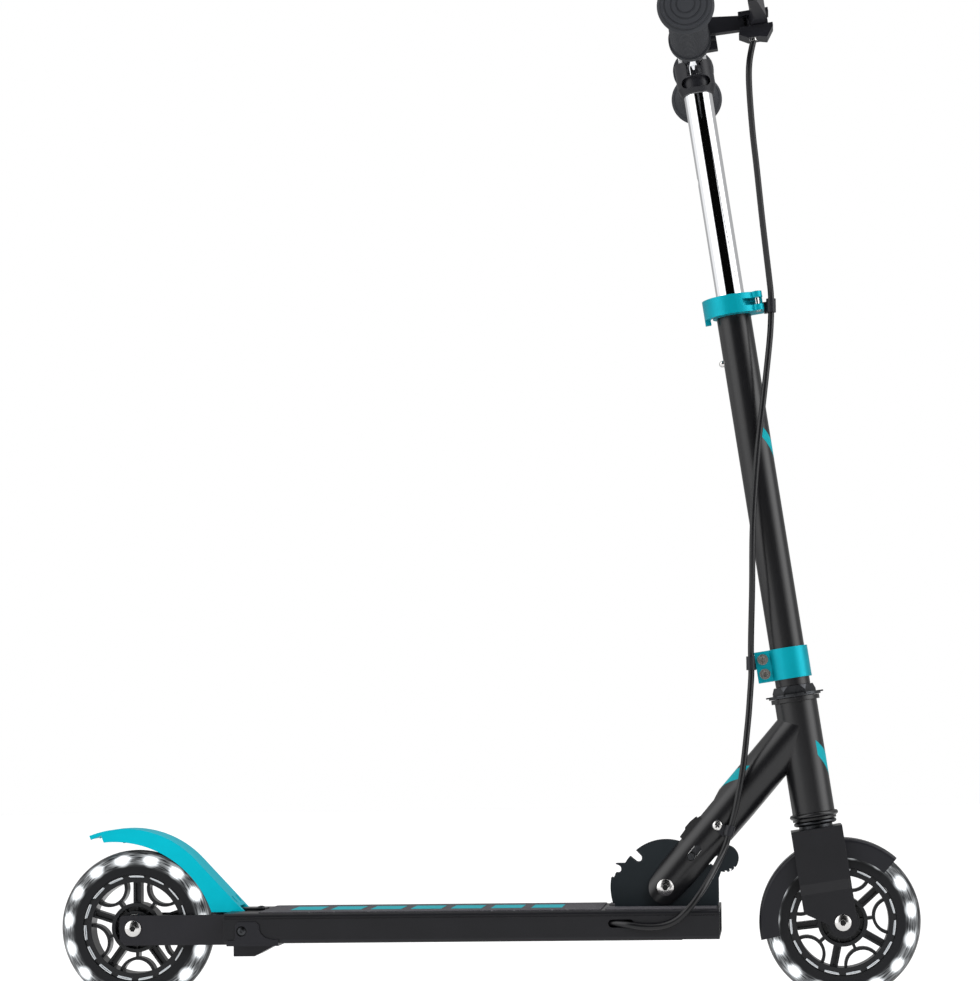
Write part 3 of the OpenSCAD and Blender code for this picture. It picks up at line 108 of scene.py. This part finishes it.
def map_range(tree, value, from_min, from_max, to_min, to_max, smooth=False):
    n = tree.nodes.new("ShaderNodeMapRange")
    n.interpolation_type = "SMOOTHSTEP" if smooth else "LINEAR"
    n.clamp = True
    link(tree, value, n.inputs["Value"])
    n.inputs["From Min"].default_value = from_min
    n.inputs["From Max"].default_value = from_max
    n.inputs["To Min"].default_value = to_min
    n.inputs["To Max"].default_value = to_max
    return n.outputs["Result"]


def coordinates(tree, kind="Object"):
    return tree.nodes.new("ShaderNodeTexCoord").outputs[kind]


def separate(tree, vector):
    """The X, Y and Z outputs of a vector, by name."""
    n = tree.nodes.new("ShaderNodeSeparateXYZ")
    link(tree, vector, n.inputs[0])
    return n.outputs


def noise(tree, coords, scale, detail=3.0, stretch=None):
    if stretch is not None:
        m = tree.nodes.new("ShaderNodeMapping")
        m.inputs["Scale"].default_value = stretch
        link(tree, coords, m.inputs["Vector"])
        coords = m.outputs["Vector"]
    n = tree.nodes.new("ShaderNodeTexNoise")
    n.inputs["Scale"].default_value = scale
    n.inputs["Detail"].default_value = detail
    link(tree, coords, n.inputs["Vector"])
    return n.outputs["Fac"]


def mix_color(tree, fac, a, b):
    n = tree.nodes.new("ShaderNodeMix")
    n.data_type = "RGBA"
    # For colours this node's inputs are numbers 6 and 7, and its output is number 2
    for socket, value in ((n.inputs["Factor"], fac), (n.inputs[6], a), (n.inputs[7], b)):
        feed(tree, socket, value)
    return n.outputs[2]


def mix_shader(tree, fac, a, b):
    n = tree.nodes.new("ShaderNodeMixShader")
    feed(tree, n.inputs["Fac"], fac)
    link(tree, a, n.inputs[1])
    link(tree, b, n.inputs[2])
    return n.outputs[0]


def glowing(tree, kind, color, strength):
    """An emission or background shader."""
    n = tree.nodes.new(kind)
    feed(tree, n.inputs["Color"], color)
    feed(tree, n.inputs["Strength"], strength)
    return n.outputs[0]


# ------------------------------------------------------------------ materials

def principled(name, color, rough, metal=0.0, specular=0.5):
    """A new material with its shader, whose plain values sit on the shader's own sockets."""
    m = bpy.data.materials.new(name)
    m.use_nodes = True
    tree = m.node_tree
    b = tree.nodes["Principled BSDF"]
    b.inputs["Base Color"].default_value = (*color, 1)
    b.inputs["Roughness"].default_value = rough
    b.inputs["Metallic"].default_value = metal
    b.inputs["Specular IOR Level"].default_value = specular
    return m, tree, b


def rounded_bump(tree, b, height=None, strength=None, distance=None, radius=0.0005):
    """Softened edges, with an optional height on top of them."""
    bevel = tree.nodes.new("ShaderNodeBevel")
    bevel.samples = 4
    bevel.inputs["Radius"].default_value = radius
    out = bevel.outputs["Normal"]
    if height is not None:
        bump = tree.nodes.new("ShaderNodeBump")
        bump.inputs["Strength"].default_value = strength
        bump.inputs["Distance"].default_value = distance
        link(tree, height, bump.inputs["Height"])
        link(tree, out, bump.inputs["Normal"])
        out = bump.outputs["Normal"]
    link(tree, out, b.inputs["Normal"])


def varied_color(tree, b, coords, color, amount, scale):
    """The colour with a slow, slight change over the surface."""
    f = map_range(tree, noise(tree, coords, scale), 0.3, 0.7, 0.0, 1.0)
    darker = tuple(v * (1 - amount) for v in color)
    lighter = tuple(v * (1 + amount) for v in color)
    link(tree, mix_color(tree, f, darker, lighter), b.inputs["Base Color"])


def grained(name, color, rough, specular, variation, grain, metal=0.0, radius=0.0005):
    """A slightly varied colour on a fine grain.

    variation is its amount and noise scale; grain is its noise scale and detail, strength and depth.
    """
    m, tree, b = principled(name, color, rough, metal, specular)
    coords = coordinates(tree)
    varied_color(tree, b, coords, color, *variation)
    scale, detail, strength, depth = grain
    rounded_bump(tree, b, noise(tree, coords, scale, detail), strength, depth, radius)
    return m


def powder_coat(name, color, rough, specular=0.28):
    return grained(name, color, rough, specular, (0.08, 40), (2600, 2, 0.12, 0.00006))


def moulded(name, color, rough, grain=1500, strength=0.14, specular=0.3):
    return grained(name, color, rough, specular, (0.06, 30), (grain, 3, strength, 0.00008))


def bare_metal(name, color, rough, brushed=False):
    m, tree, b = principled(name, color, rough, metal=1.0)
    if brushed:
        streaks = noise(tree, coordinates(tree), 900, 2, (1, 1, 0.05))
        link(tree, map_range(tree, streaks, 0.3, 0.7, rough * 0.75, rough * 1.3), b.inputs["Roughness"])
    rounded_bump(tree, b, radius=0.0004)
    return m


def gritty_tape(name):
    """Dark grit with a bright grain here and there."""
    dark, bright = (0.058, 0.056, 0.064), (0.26, 0.26, 0.28)
    m, tree, b = principled(name, dark, 0.85)
    grains = tree.nodes.new("ShaderNodeTexVoronoi")
    grains.inputs["Scale"].default_value = 900
    link(tree, coordinates(tree), grains.inputs["Vector"])
    sparkle = map_range(tree, grains.outputs["Color"], 0.86, 1.0, 0.0, 1.0)
    link(tree, mix_color(tree, sparkle, dark, bright), b.inputs["Base Color"])
    rounded_bump(tree, b, grains.outputs["Distance"], 0.8, 0.0006)
    return m


def clear_tyre(name, axle, first):
    """Smoky tyre lit from inside: bright places round the wheel, one at each light, with streaks between them.

    first is the angle of one light, in degrees.
    """
    m, tree, b = principled(name, (0.012, 0.0125, 0.014), 0.3, specular=0.15)
    place = separate(tree, coordinates(tree))
    x = math_node(tree, "SUBTRACT", place["X"], axle.x)
    z = math_node(tree, "SUBTRACT", place["Z"], axle.z)
    r = length_node(tree, x, z)
    angle = math_node(tree, "ARCTAN2", z, x)
    # Distances from the nearest light, in millimetres: round the tyre and across it
    pitch = 2 * math.pi / LIGHTS
    turns = math_node(tree, "DIVIDE", math_node(tree, "SUBTRACT", angle, math.radians(first)), pitch)
    round_it = math_node(tree, "MULTIPLY", math_node(tree, "PINGPONG", turns, 0.5), pitch * GLOW_R * 1000)
    across = math_node(tree, "MULTIPLY", math_node(tree, "SUBTRACT", r, GLOW_R), 1000.0)
    # An oval spot at each light, which reaches further in than out
    half_length, half_out, half_in = 5.6, 3.0, 4.6
    u = math_node(tree, "DIVIDE", round_it, half_length)
    v = math_node(tree, "MAXIMUM", math_node(tree, "DIVIDE", across, half_out),
                  math_node(tree, "DIVIDE", across, -half_in))
    spot = map_range(tree, length_node(tree, u, v), 0.45, 1.5, 1.0, 0.0, smooth=True)
    # Streaks from spot to spot, that end short of the core and the tread
    halo_a = map_range(tree, round_it, 4.0, 11.0, 1.0, 0.35, smooth=True)
    halo_r = map_range(tree, math_node(tree, "ABSOLUTE", across), 1.0, 7.0, 1.0, 0.0, smooth=True)
    polar = tree.nodes.new("ShaderNodeCombineXYZ")
    link(tree, math_node(tree, "MULTIPLY", r, 900.0), polar.inputs[0])
    link(tree, math_node(tree, "MULTIPLY", angle, 5.0), polar.inputs[1])
    streaks = map_range(tree, noise(tree, polar.outputs[0], 1.0, 4), 0.4, 0.66, 0.05, 1.0)
    halo = math_node(tree, "MULTIPLY", math_node(tree, "MULTIPLY", halo_a, halo_r), streaks)
    spot_power, halo_power = 1.5, 0.9
    light = math_node(tree, "ADD", math_node(tree, "MULTIPLY", spot, spot_power),
                      math_node(tree, "MULTIPLY", halo, halo_power))
    link(tree, light, b.inputs["Emission Strength"])
    b.inputs["Emission Color"].default_value = (0.93, 0.97, 1.0, 1)
    rounded_bump(tree, b)
    return m


def lit_module(name, color):
    m, tree, b = principled(name, color, 0.3)
    varied_color(tree, b, coordinates(tree), color, 0.1, 300)
    rounded_bump(tree, b, radius=0.0003)
    b.inputs["Emission Color"].default_value = (0.9, 0.96, 1.0, 1)
    b.inputs["Emission Strength"].default_value = 0.12
    return m


materials = {
    "frame_black": powder_coat("frame_black", (0.0085, 0.0086, 0.0106), 0.36),
    "tube_black": powder_coat("tube_black", (0.0042, 0.0042, 0.0052), 0.3, 0.45),
    "stay_black": powder_coat("stay_black", (0.0135, 0.0132, 0.0165), 0.36),
    "moulded_black": moulded("moulded_black", (0.010, 0.0102, 0.0135), 0.4),
    "quadrant_paint": powder_coat("quadrant_paint", (0.010, 0.014, 0.017), 0.5, 0.2),
    "teal_paint": grained("teal_paint", (0.0, 0.33, 0.41), 0.34, 0.15, (0.04, 60), (1800, 2, 0.06, 0.00005),
                          metal=0.3),
    "teal_plastic": moulded("teal_plastic", (0.0, 0.45, 0.56), 0.42, 900, 0.05, 0.07),
    "teal_print": moulded("teal_print", (0.0, 0.36, 0.42), 0.7, 900, 0.4),
    "chrome": bare_metal("chrome", (0.88, 0.89, 0.91), 0.025),
    "zinc": bare_metal("zinc", (0.62, 0.61, 0.60), 0.2, brushed=True),
    "dull_zinc": bare_metal("dull_zinc", (0.30, 0.29, 0.27), 0.25, brushed=True),
    # Dark steel, which also serves as painted shade in the guide screw's cross recess
    "dark_steel": bare_metal("dark_steel", (0.05, 0.052, 0.056), 0.35, brushed=True),
    "grip_tape": gritty_tape("grip_tape"),
    "grip_rubber": grained("grip_rubber", (0.03, 0.032, 0.037), 0.55, 0.25, (0.08, 50), (1400, 3, 0.1, 0.0001),
                           radius=0.0006),
    "wheel_core": moulded("wheel_core", (0.009, 0.0095, 0.011), 0.3, 1200, 0.06),
    "led_white": lit_module("led_white", (0.5, 0.53, 0.56)),
    "dash_white": principled("dash_white", (0.62, 0.64, 0.66), 0.4)[0],
    "brake_lining": moulded("brake_lining", (0.01, 0.01, 0.01), 0.8, 700, 0.3),
    # Painted shade for the floors of the bolts' sockets
    "socket_black": moulded("socket_black", (0.006, 0.006, 0.006), 0.5, 900, 0.1),
    "cable_housing": moulded("cable_housing", (0.006, 0.006, 0.007), 0.3, 1600, 0.03, 0.35),
    "clear_tyre": clear_tyre("clear_tyre", REAR_AXLE, 5),
    "clear_tyre_front": clear_tyre("clear_tyre_front", FRONT_AXLE, 9),
}

# Nodes that look unlike the rest of their slot
OWN_FINISH = {
    "front_tyre": "clear_tyre_front",
    "column_tube": "tube_black",
    "neck_frame": "tube_black",
    "upper_cup": "tube_black",
    "lower_cup": "tube_black",
    "deck_screws": "dark_steel",
    "crown_race": "dark_steel",
    "rear_stays": "stay_black",
    "clamp_bolts": "dull_zinc",
}
for node_name, node in nodes.items():
    slots = node.data.materials
    packed = slots[0].name.split(".")[0]
    for i in range(len(slots)):
        slots[i] = materials[OWN_FINISH.get(node_name, packed)]

# ------------------------------------------------------------------ meshes

def new_mesh(name, verts, faces, material, smooth=False):
    data = bpy.data.meshes.new(name)
    data.from_pydata([tuple(v) for v in verts], [], faces)
    data.validate()
    if smooth:
        data.polygons.foreach_set("use_smooth", [True] * len(data.polygons))
    data.materials.append(material)
    obj = bpy.data.objects.new(name, data)
    bpy.context.scene.collection.objects.link(obj)
    return obj


def spline_point(p, i, u):
    """A point of the Catmull-Rom curve through p, at the share u of its span i."""
    a, b, c, d = p[max(i - 1, 0)], p[i], p[min(i + 1, len(p) - 1)], p[min(i + 2, len(p) - 1)]
    return 0.5 * (2 * b + (c - a) * u + (2 * a - 5 * b + 4 * c - d) * u ** 2
                  + (3 * b - a - 3 * c + d) * u ** 3)


def tube(name, points, radius, material, sides=16):
    """A round tube along a line of points, closed at both ends."""
    verts, faces = [], []
    side = Vector((0, 1, 0))
    for i, p in enumerate(points):
        along = (points[min(i + 1, len(points) - 1)] - points[max(i - 1, 0)]).normalized()
        side = (side - along * side.dot(along)).normalized()
        other = along.cross(side)
        for k in range(sides):
            a = 2 * math.pi * k / sides
            verts.append(p + (side * math.cos(a) + other * math.sin(a)) * radius)
    for i in range(len(points) - 1):
        for k in range(sides):
            n = (k + 1) % sides
            faces.append((i * sides + k, (i + 1) * sides + k, (i + 1) * sides + n, i * sides + n))
    last = (len(points) - 1) * sides
    faces.append(tuple(range(sides)))
    faces.append(tuple(last + k for k in reversed(range(sides))))
    return new_mesh(name, verts, faces, material, smooth=True)


def bar_faces(first, steps):
    """Faces of a closed bar, whose sections of four vertices start at the vertex first."""
    faces = []
    for i in range(steps):
        o, n = first + 4 * i, first + 4 * (i + 1)
        for p, q in ((0, 1), (1, 3), (3, 2), (2, 0)):
            faces.append((o + p, n + p, n + q, o + q))
    end = first + 4 * steps
    return faces + [(first, first + 1, first + 3, first + 2), (end, end + 2, end + 3, end + 1)]


# ------------------------------------------------------------------ brake cable

# The route of part.scad, from the lever into the deck
ROUTE = [Vector(p) / 1000 for p in [
    (225, -58, 763.4), (221.5, -57.5, 746), (221, -54, 727), (223, -46, 694), (226, -38, 664),
    (230, -28, 622), (234.5, -15, 580),
    (235.7, -12, 567), (235.7, -12, 557.5), (235.5, -12, 548), (234, -15, 528), (229, -20, 486),
    (223.5, -22, 443), (220, -22, 405), (218, -22, 372), (217, -19, 330), (215.6, -10, 294),
    (215.2, -8, 280), (215.2, -8, 270), (215.2, -8, 260), (214, -11, 244), (212, -16, 222),
    (207.5, -20, 186), (202, -21, 157), (199, -20.6, 145),
    (196, -20.5, 135), (193, -21.5, 125), (188, -28, 114), (181.5, -39, 102), (174, -49, 90),
    (165, -54.2, 78), (154, -55, 67.5), (142, -54.8, 63), (128, -54, 62.5), (115, -52.5, 64.2),
    (103, -46, 65.3), (88, -39, 65.5), (60, -37, 65.5),
    (-20, -36.5, 65.5), (-90, -36, 65), (-112, -28, 63), (-135, -12, 60), (-158, -3, 56.5),
    (-176, 0, 50.5), (-194, 0, 46.2),
]]
# The route's points at the upper clip, the lower clip and the strut's guide, beside the deck and inside it
AT_UPPER_CLIP, AT_LOWER_CLIP, AT_GUIDE, BESIDE_DECK, IN_DECK = 8, 18, 25, 32, 36


def cable_stretch(name, start, end, steps=8):
    """The cable between two of the route's points, in place of the CAD's faceted piece."""
    points = []
    for k in range(start * steps, end * steps + 1):
        i = min(k // steps, len(ROUTE) - 2)
        points.append(spline_point(ROUTE, i, k / steps - i))
    piece = tube(name + "_housing", points, CABLE_R, materials["cable_housing"])
    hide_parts(name)
    return piece


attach(cable_stretch("cable_column", AT_UPPER_CLIP, AT_LOWER_CLIP), "steering")
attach(cable_stretch("cable_deck", IN_DECK, len(ROUTE) - 1), "deck_frame")
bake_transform(cable_stretch("cable_upper", 0, AT_UPPER_CLIP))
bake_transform(cable_stretch("cable_steering", AT_LOWER_CLIP, AT_GUIDE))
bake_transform(cable_stretch("cable_fold", AT_GUIDE, IN_DECK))

# ------------------------------------------------------------------ wheel trim

def wheel_dashes(name, axle, body, side):
    """Pale arcs on the wheel's face, one for each light."""
    inner_r, outer_r = 0.0415, 0.0422
    raised, thick = 0.0003, 0.0004
    first, half_arc = 89, math.radians(8.2)
    steps = 8
    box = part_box(body.replace("wheel", "core"))
    y = (box[0].y if side < 0 else box[1].y) + side * raised
    verts, faces = [], []
    for i in range(LIGHTS):
        mid = math.radians(first + i * 360 / LIGHTS)
        faces += bar_faces(len(verts), steps)
        for k in range(steps + 1):
            a = mid + half_arc * (2 * k / steps - 1)
            for r in (inner_r, outer_r):
                for dy in (0.0, -side * thick):
                    verts.append(axle + Vector((r * math.cos(a), y + dy, r * math.sin(a))))
    piece = new_mesh(name, verts, faces, materials["dash_white"])
    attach(piece, body)


for wheel, axle in (("rear_wheel", REAR_AXLE), ("front_wheel", FRONT_AXLE)):
    for label, side in (("near", -1), ("far", 1)):
        wheel_dashes(f"{wheel}_dashes_{label}", axle, wheel, side)

# ------------------------------------------------------------------ markings, screw and sockets

def tape_bars():
    """A plain row of teal bars printed along the grip tape."""
    low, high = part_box("grip_tape")
    first, last = low.x + 0.022, high.x - 0.025
    count, printed_share, half_width = 7, 0.76, 0.021
    bottom, top = high.z - 0.0001, high.z + 0.00014
    pitch = (last - first) / count
    length = pitch * printed_share
    verts, faces = [], []
    for i in range(count):
        x0 = first + i * pitch
        o = len(verts)
        for z in (bottom, top):
            verts += [(x0, -half_width, z), (x0 + length, -half_width, z),
                      (x0 + length, half_width, z), (x0, half_width, z)]
        for f in ((0, 3, 2, 1), (4, 5, 6, 7), (0, 1, 5, 4), (1, 2, 6, 5), (2, 3, 7, 6), (3, 0, 4, 7)):
            faces.append(tuple(o + k for k in f))
    piece = new_mesh("tape_bars", verts, faces, materials["teal_print"])
    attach(piece, "deck_frame")


def tube_decal(name, body, base, along, facing, radius, corners):
    """A slanted patch of paint on a tube.

    Each corner is its angle from facing towards the near side, in degrees, and its height in millimetres.
    """
    sunk, raised = 0.0002, 0.00006
    steps = 10
    bottom_start, bottom_end, top_end, top_start = corners
    verts = []
    for i in range(steps + 1):
        u = i / steps
        for start, end in ((bottom_start, bottom_end), (top_start, top_end)):
            angle, height = (s + (e - s) * u for s, e in zip(start, end))
            a = math.radians(angle)
            outward = facing * math.cos(a) + NEAR_SIDE * math.sin(a)
            for r in (radius - sunk, radius + raised):
                verts.append(base + along * (height / 1000) + outward * r)
    piece = new_mesh(name, verts, bar_faces(0, steps), materials["teal_print"])
    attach(piece, body)


def guide_screw():
    """Bright pan-head screw with a cross recess, on the cable guide's tongue."""
    rings, turns = 12, 48
    radius, rise = 0.0038, 0.00175
    dome = 1.9 * radius
    recess, arm_half_width, arm_length = 0.0008, 0.00055, 0.0021
    up_strut, off_axis, off_tube = 0.0647, -0.0003, 0.00158
    place = FOLD_PIVOT + STRUT_UP * up_strut + STRUT_OUT * off_axis + NEAR_SIDE * (STRUT_R + off_tube)
    verts = [place, place + NEAR_SIDE * (rise - recess)]
    faces = []
    for i in range(rings + 1):
        r = radius * max(i, 0.5) / rings
        lift = rise - (dome - math.sqrt(dome * dome - r * r))
        for k in range(turns):
            a = 2 * math.pi * k / turns
            x, z = r * math.cos(a), r * math.sin(a)
            in_cross = min(abs(x), abs(z)) < arm_half_width and max(abs(x), abs(z)) < arm_length
            height = lift - (recess if in_cross else 0)
            verts.append(place + STRUT_UP * x + STRUT_OUT * z + NEAR_SIDE * height)
    rim = 2 + rings * turns
    foot = len(verts)
    for k in range(turns):
        a = 2 * math.pi * k / turns
        verts.append(place + STRUT_UP * radius * math.cos(a) + STRUT_OUT * radius * math.sin(a))
    for k in range(turns):
        n = (k + 1) % turns
        faces.append((1, 2 + k, 2 + n))
        for i in range(rings):
            o, p = 2 + i * turns, 2 + (i + 1) * turns
            faces.append((o + k, p + k, p + n, o + n))
    for k in range(turns):
        n = (k + 1) % turns
        faces.append((rim + k, foot + k, foot + n, rim + n))
        faces.append((0, foot + n, foot + k))
    piece = new_mesh("guide_screw", verts, faces, materials["zinc"])
    # The cross recess is painted dark as shade. Its faces' centres lie a little past the arms' edges
    slack = 0.00005
    piece.data.materials.append(materials["dark_steel"])
    for f in piece.data.polygons:
        d = f.center - place
        x, z = abs(d.dot(STRUT_UP)), abs(d.dot(STRUT_OUT))
        on_top = d.dot(NEAR_SIDE) > 0.0003
        if on_top and min(x, z) < arm_half_width + slack and max(x, z) < arm_length + 2 * slack:
            f.material_index = 1
    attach(piece, "neck")


def socket_shade_plate(name, body, centre, out):
    """Painted shade: a dark plate on the floor of a bolt head's hexagon socket, where the recess lies in shade.
    """
    radius, depth = 0.0024, 0.0008
    verts = []
    for lift in (0.0, depth):
        for k in range(6):
            a = math.radians(60 * k)
            verts.append(centre + Vector((radius * math.cos(a), out * lift, radius * math.sin(a))))
    faces = [tuple(range(6)), tuple(range(11, 5, -1))]
    for k in range(6):
        n = (k + 1) % 6
        faces.append((k, 6 + k, 6 + n, n))
    piece = new_mesh(name, verts, faces, materials["socket_black"])
    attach(piece, body)


tape_bars()
guide_screw()
# Painted shade: dark plates on the floors of the bolts' sockets. How far the sockets' floors lie below the ends
# of their bolts. The axles have nuts at the far side
SOCKET_DEPTH = 0.00192
for node_name, body, axle, sides in (("rear_axle", "deck_frame", REAR_AXLE, (-1,)),
                                     ("front_axle", "steering", FRONT_AXLE, (-1,)),
                                     ("fold_bolt", "neck", FOLD_PIVOT, (-1, 1))):
    for out in sides:
        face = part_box(node_name)[0 if out < 0 else 1].y
        label = "near" if out < 0 else "far"
        centre = Vector((axle.x, face - out * SOCKET_DEPTH, axle.z))
        socket_shade_plate(f"{node_name}_socket_{label}", body, centre, out)
tube_decal("column_flash", "steering", COLUMN_FOOT, UP, FORWARD, COLUMN_R,
           [(8, 438), (62, 456), (62, 466), (8, 452)])
tube_decal("head_flash", "neck", COLUMN_FOOT, UP, FORWARD, HEAD_R,
           [(4, 178), (52, 196), (52, 208), (4, 196)])
tube_decal("strut_flash", "neck", FOLD_PIVOT, STRUT_UP, STRUT_OUT, STRUT_R,
           [(8, 90), (52, 104), (52, 118), (8, 108)])

# ------------------------------------------------------------------ stage, light and camera

# What metal mirrors, by direction: (share of a full turn, brightness). The photo's camera is near 0.5.
# Bright walls at both sides, and a dark one behind the camera that gives round tubes a core shadow
MIRRORED_WALLS = [
    (0.0, 0.45), (0.15, 0.5), (0.17, 1.05), (0.25, 1.1), (0.29, 2.6), (0.37, 2.6), (0.405, 1.2),
    (0.412, 0.002), (0.605, 0.002),
    (0.612, 1.2), (0.64, 1.6), (0.67, 4.0), (0.74, 4.0), (0.77, 1.1), (0.8, 0.5), (1.0, 0.45),
]


def studio_world():
    """White for the camera, studio walls for metal, and an even soft light for the rest."""
    world = bpy.data.worlds.new("studio")
    bpy.context.scene.world = world
    world.use_nodes = True
    tree = world.node_tree
    tree.nodes.clear()
    way = separate(tree, coordinates(tree, "Generated"))
    # 0 towards the camera's side, 0.5 and -0.5 behind the object
    azimuth = math_node(tree, "DIVIDE",
                        math_node(tree, "ARCTAN2", way["X"], math_node(tree, "MULTIPLY", way["Y"], -1.0)),
                        2 * math.pi)
    ramp = tree.nodes.new("ShaderNodeValToRGB")
    stops = ramp.color_ramp.elements
    for place, _ in MIRRORED_WALLS[1:-1]:
        stops.new(place)
    for stop, (place, brightness) in zip(stops, MIRRORED_WALLS):
        stop.color = (brightness, brightness, brightness, 1)
    link(tree, math_node(tree, "ADD", azimuth, 0.5), ramp.inputs["Fac"])
    # More light from above than from below
    walls = glowing(tree, "ShaderNodeBackground", ramp.outputs["Color"],
                    map_range(tree, way["Z"], -0.6, 0.9, 0.75, 1.1))
    soft = glowing(tree, "ShaderNodeBackground", (1, 1, 1), map_range(tree, way["Z"], -0.6, 0.9, 0.56, 0.8))
    white = glowing(tree, "ShaderNodeBackground", (1, 1, 1), 1.0)
    path = tree.nodes.new("ShaderNodeLightPath")
    lighting = mix_shader(tree, path.outputs["Is Glossy Ray"], soft, walls)
    seen = mix_shader(tree, path.outputs["Is Camera Ray"], lighting, white)
    out = tree.nodes.new("ShaderNodeOutputWorld")
    link(tree, seen, out.inputs["Surface"])


def pale_floor():
    """Pale floor that reads white and keeps the object's shadow."""
    m, tree, b = principled("floor_white", (0.82, 0.82, 0.82), 0.9, specular=0.1)
    glow = glowing(tree, "ShaderNodeEmission", (1, 1, 1), 0.42)
    dark = glowing(tree, "ShaderNodeEmission", (1, 1, 1), 0.0)
    path = tree.nodes.new("ShaderNodeLightPath")
    # The glow lifts the floor to white where it is seen, and lights nothing
    shown = math_node(tree, "MAXIMUM", path.outputs["Is Camera Ray"], path.outputs["Is Glossy Ray"])
    shown = math_node(tree, "MAXIMUM", shown, path.outputs["Is Transmission Ray"])
    lifted = tree.nodes.new("ShaderNodeAddShader")
    link(tree, b.outputs[0], lifted.inputs[0])
    link(tree, mix_shader(tree, shown, dark, glow), lifted.inputs[1])
    # A mirror sees the floor darken behind the object, so chrome keeps its form from the back
    place = separate(tree, coordinates(tree))
    fade = math_node(tree, "MULTIPLY", path.outputs["Is Glossy Ray"],
                     map_range(tree, place["Y"], 0.4, 1.5, 0.0, 0.8))
    link(tree, mix_shader(tree, fade, lifted.outputs[0], dark), tree.nodes["Material Output"].inputs["Surface"])
    size = 6.0
    corners = [(-size, -size, 0), (size, -size, 0), (size, size, 0), (-size, size, 0)]
    new_mesh("floor", corners, [(0, 1, 2, 3)], m)


def area_light(name, place, size, watts):
    """A square lamp that faces the middle of the scooter."""
    data = bpy.data.lights.new(name, "AREA")
    data.shape = "SQUARE"
    data.size = size
    data.energy = watts
    obj = bpy.data.objects.new(name, data)
    bpy.context.scene.collection.objects.link(obj)
    obj.location = place
    middle = Vector((0, 0, 0.3))
    obj.rotation_euler = (middle - Vector(place)).to_track_quat("-Z", "Y").to_euler()
    # Metal mirrors the studio's walls, not the lamps
    obj.visible_glossy = False


def camera():
    """The photo's view: from the rider's right, a little above the deck, with a long lens."""
    data = bpy.data.cameras.new("camera")
    cam = bpy.data.objects.new("camera", data)
    bpy.context.scene.collection.objects.link(cam)
    bpy.context.scene.camera = cam
    place = Vector((0.23128, -2.34656, 0.21387))
    yaw, pitch, roll = math.radians(-3.421), math.radians(2.903), math.radians(-0.724)
    look = Vector((math.sin(yaw) * math.cos(pitch), math.cos(yaw) * math.cos(pitch), math.sin(pitch)))
    right = look.cross(Vector((0, 0, 1))).normalized()
    up = right.cross(look)
    turned_right = right * math.cos(roll) + up * math.sin(roll)
    turned_up = -right * math.sin(roll) + up * math.cos(roll)
    m = Matrix((turned_right, turned_up, -look)).transposed().to_4x4()
    m.translation = place
    cam.matrix_world = m
    data.sensor_width = 36.0
    data.lens = 106.67670
    data.shift_x = -0.1084608
    data.shift_y = 0.0985729
    data.clip_end = 50


studio_world()
pale_floor()
area_light("key", (1.4, -2.2, 1.5), 1.2, 28)
area_light("fill", (-2.0, -1.6, 1.3), 1.4, 16)
camera()
bpy.context.scene.view_settings.view_transform = "Standard"
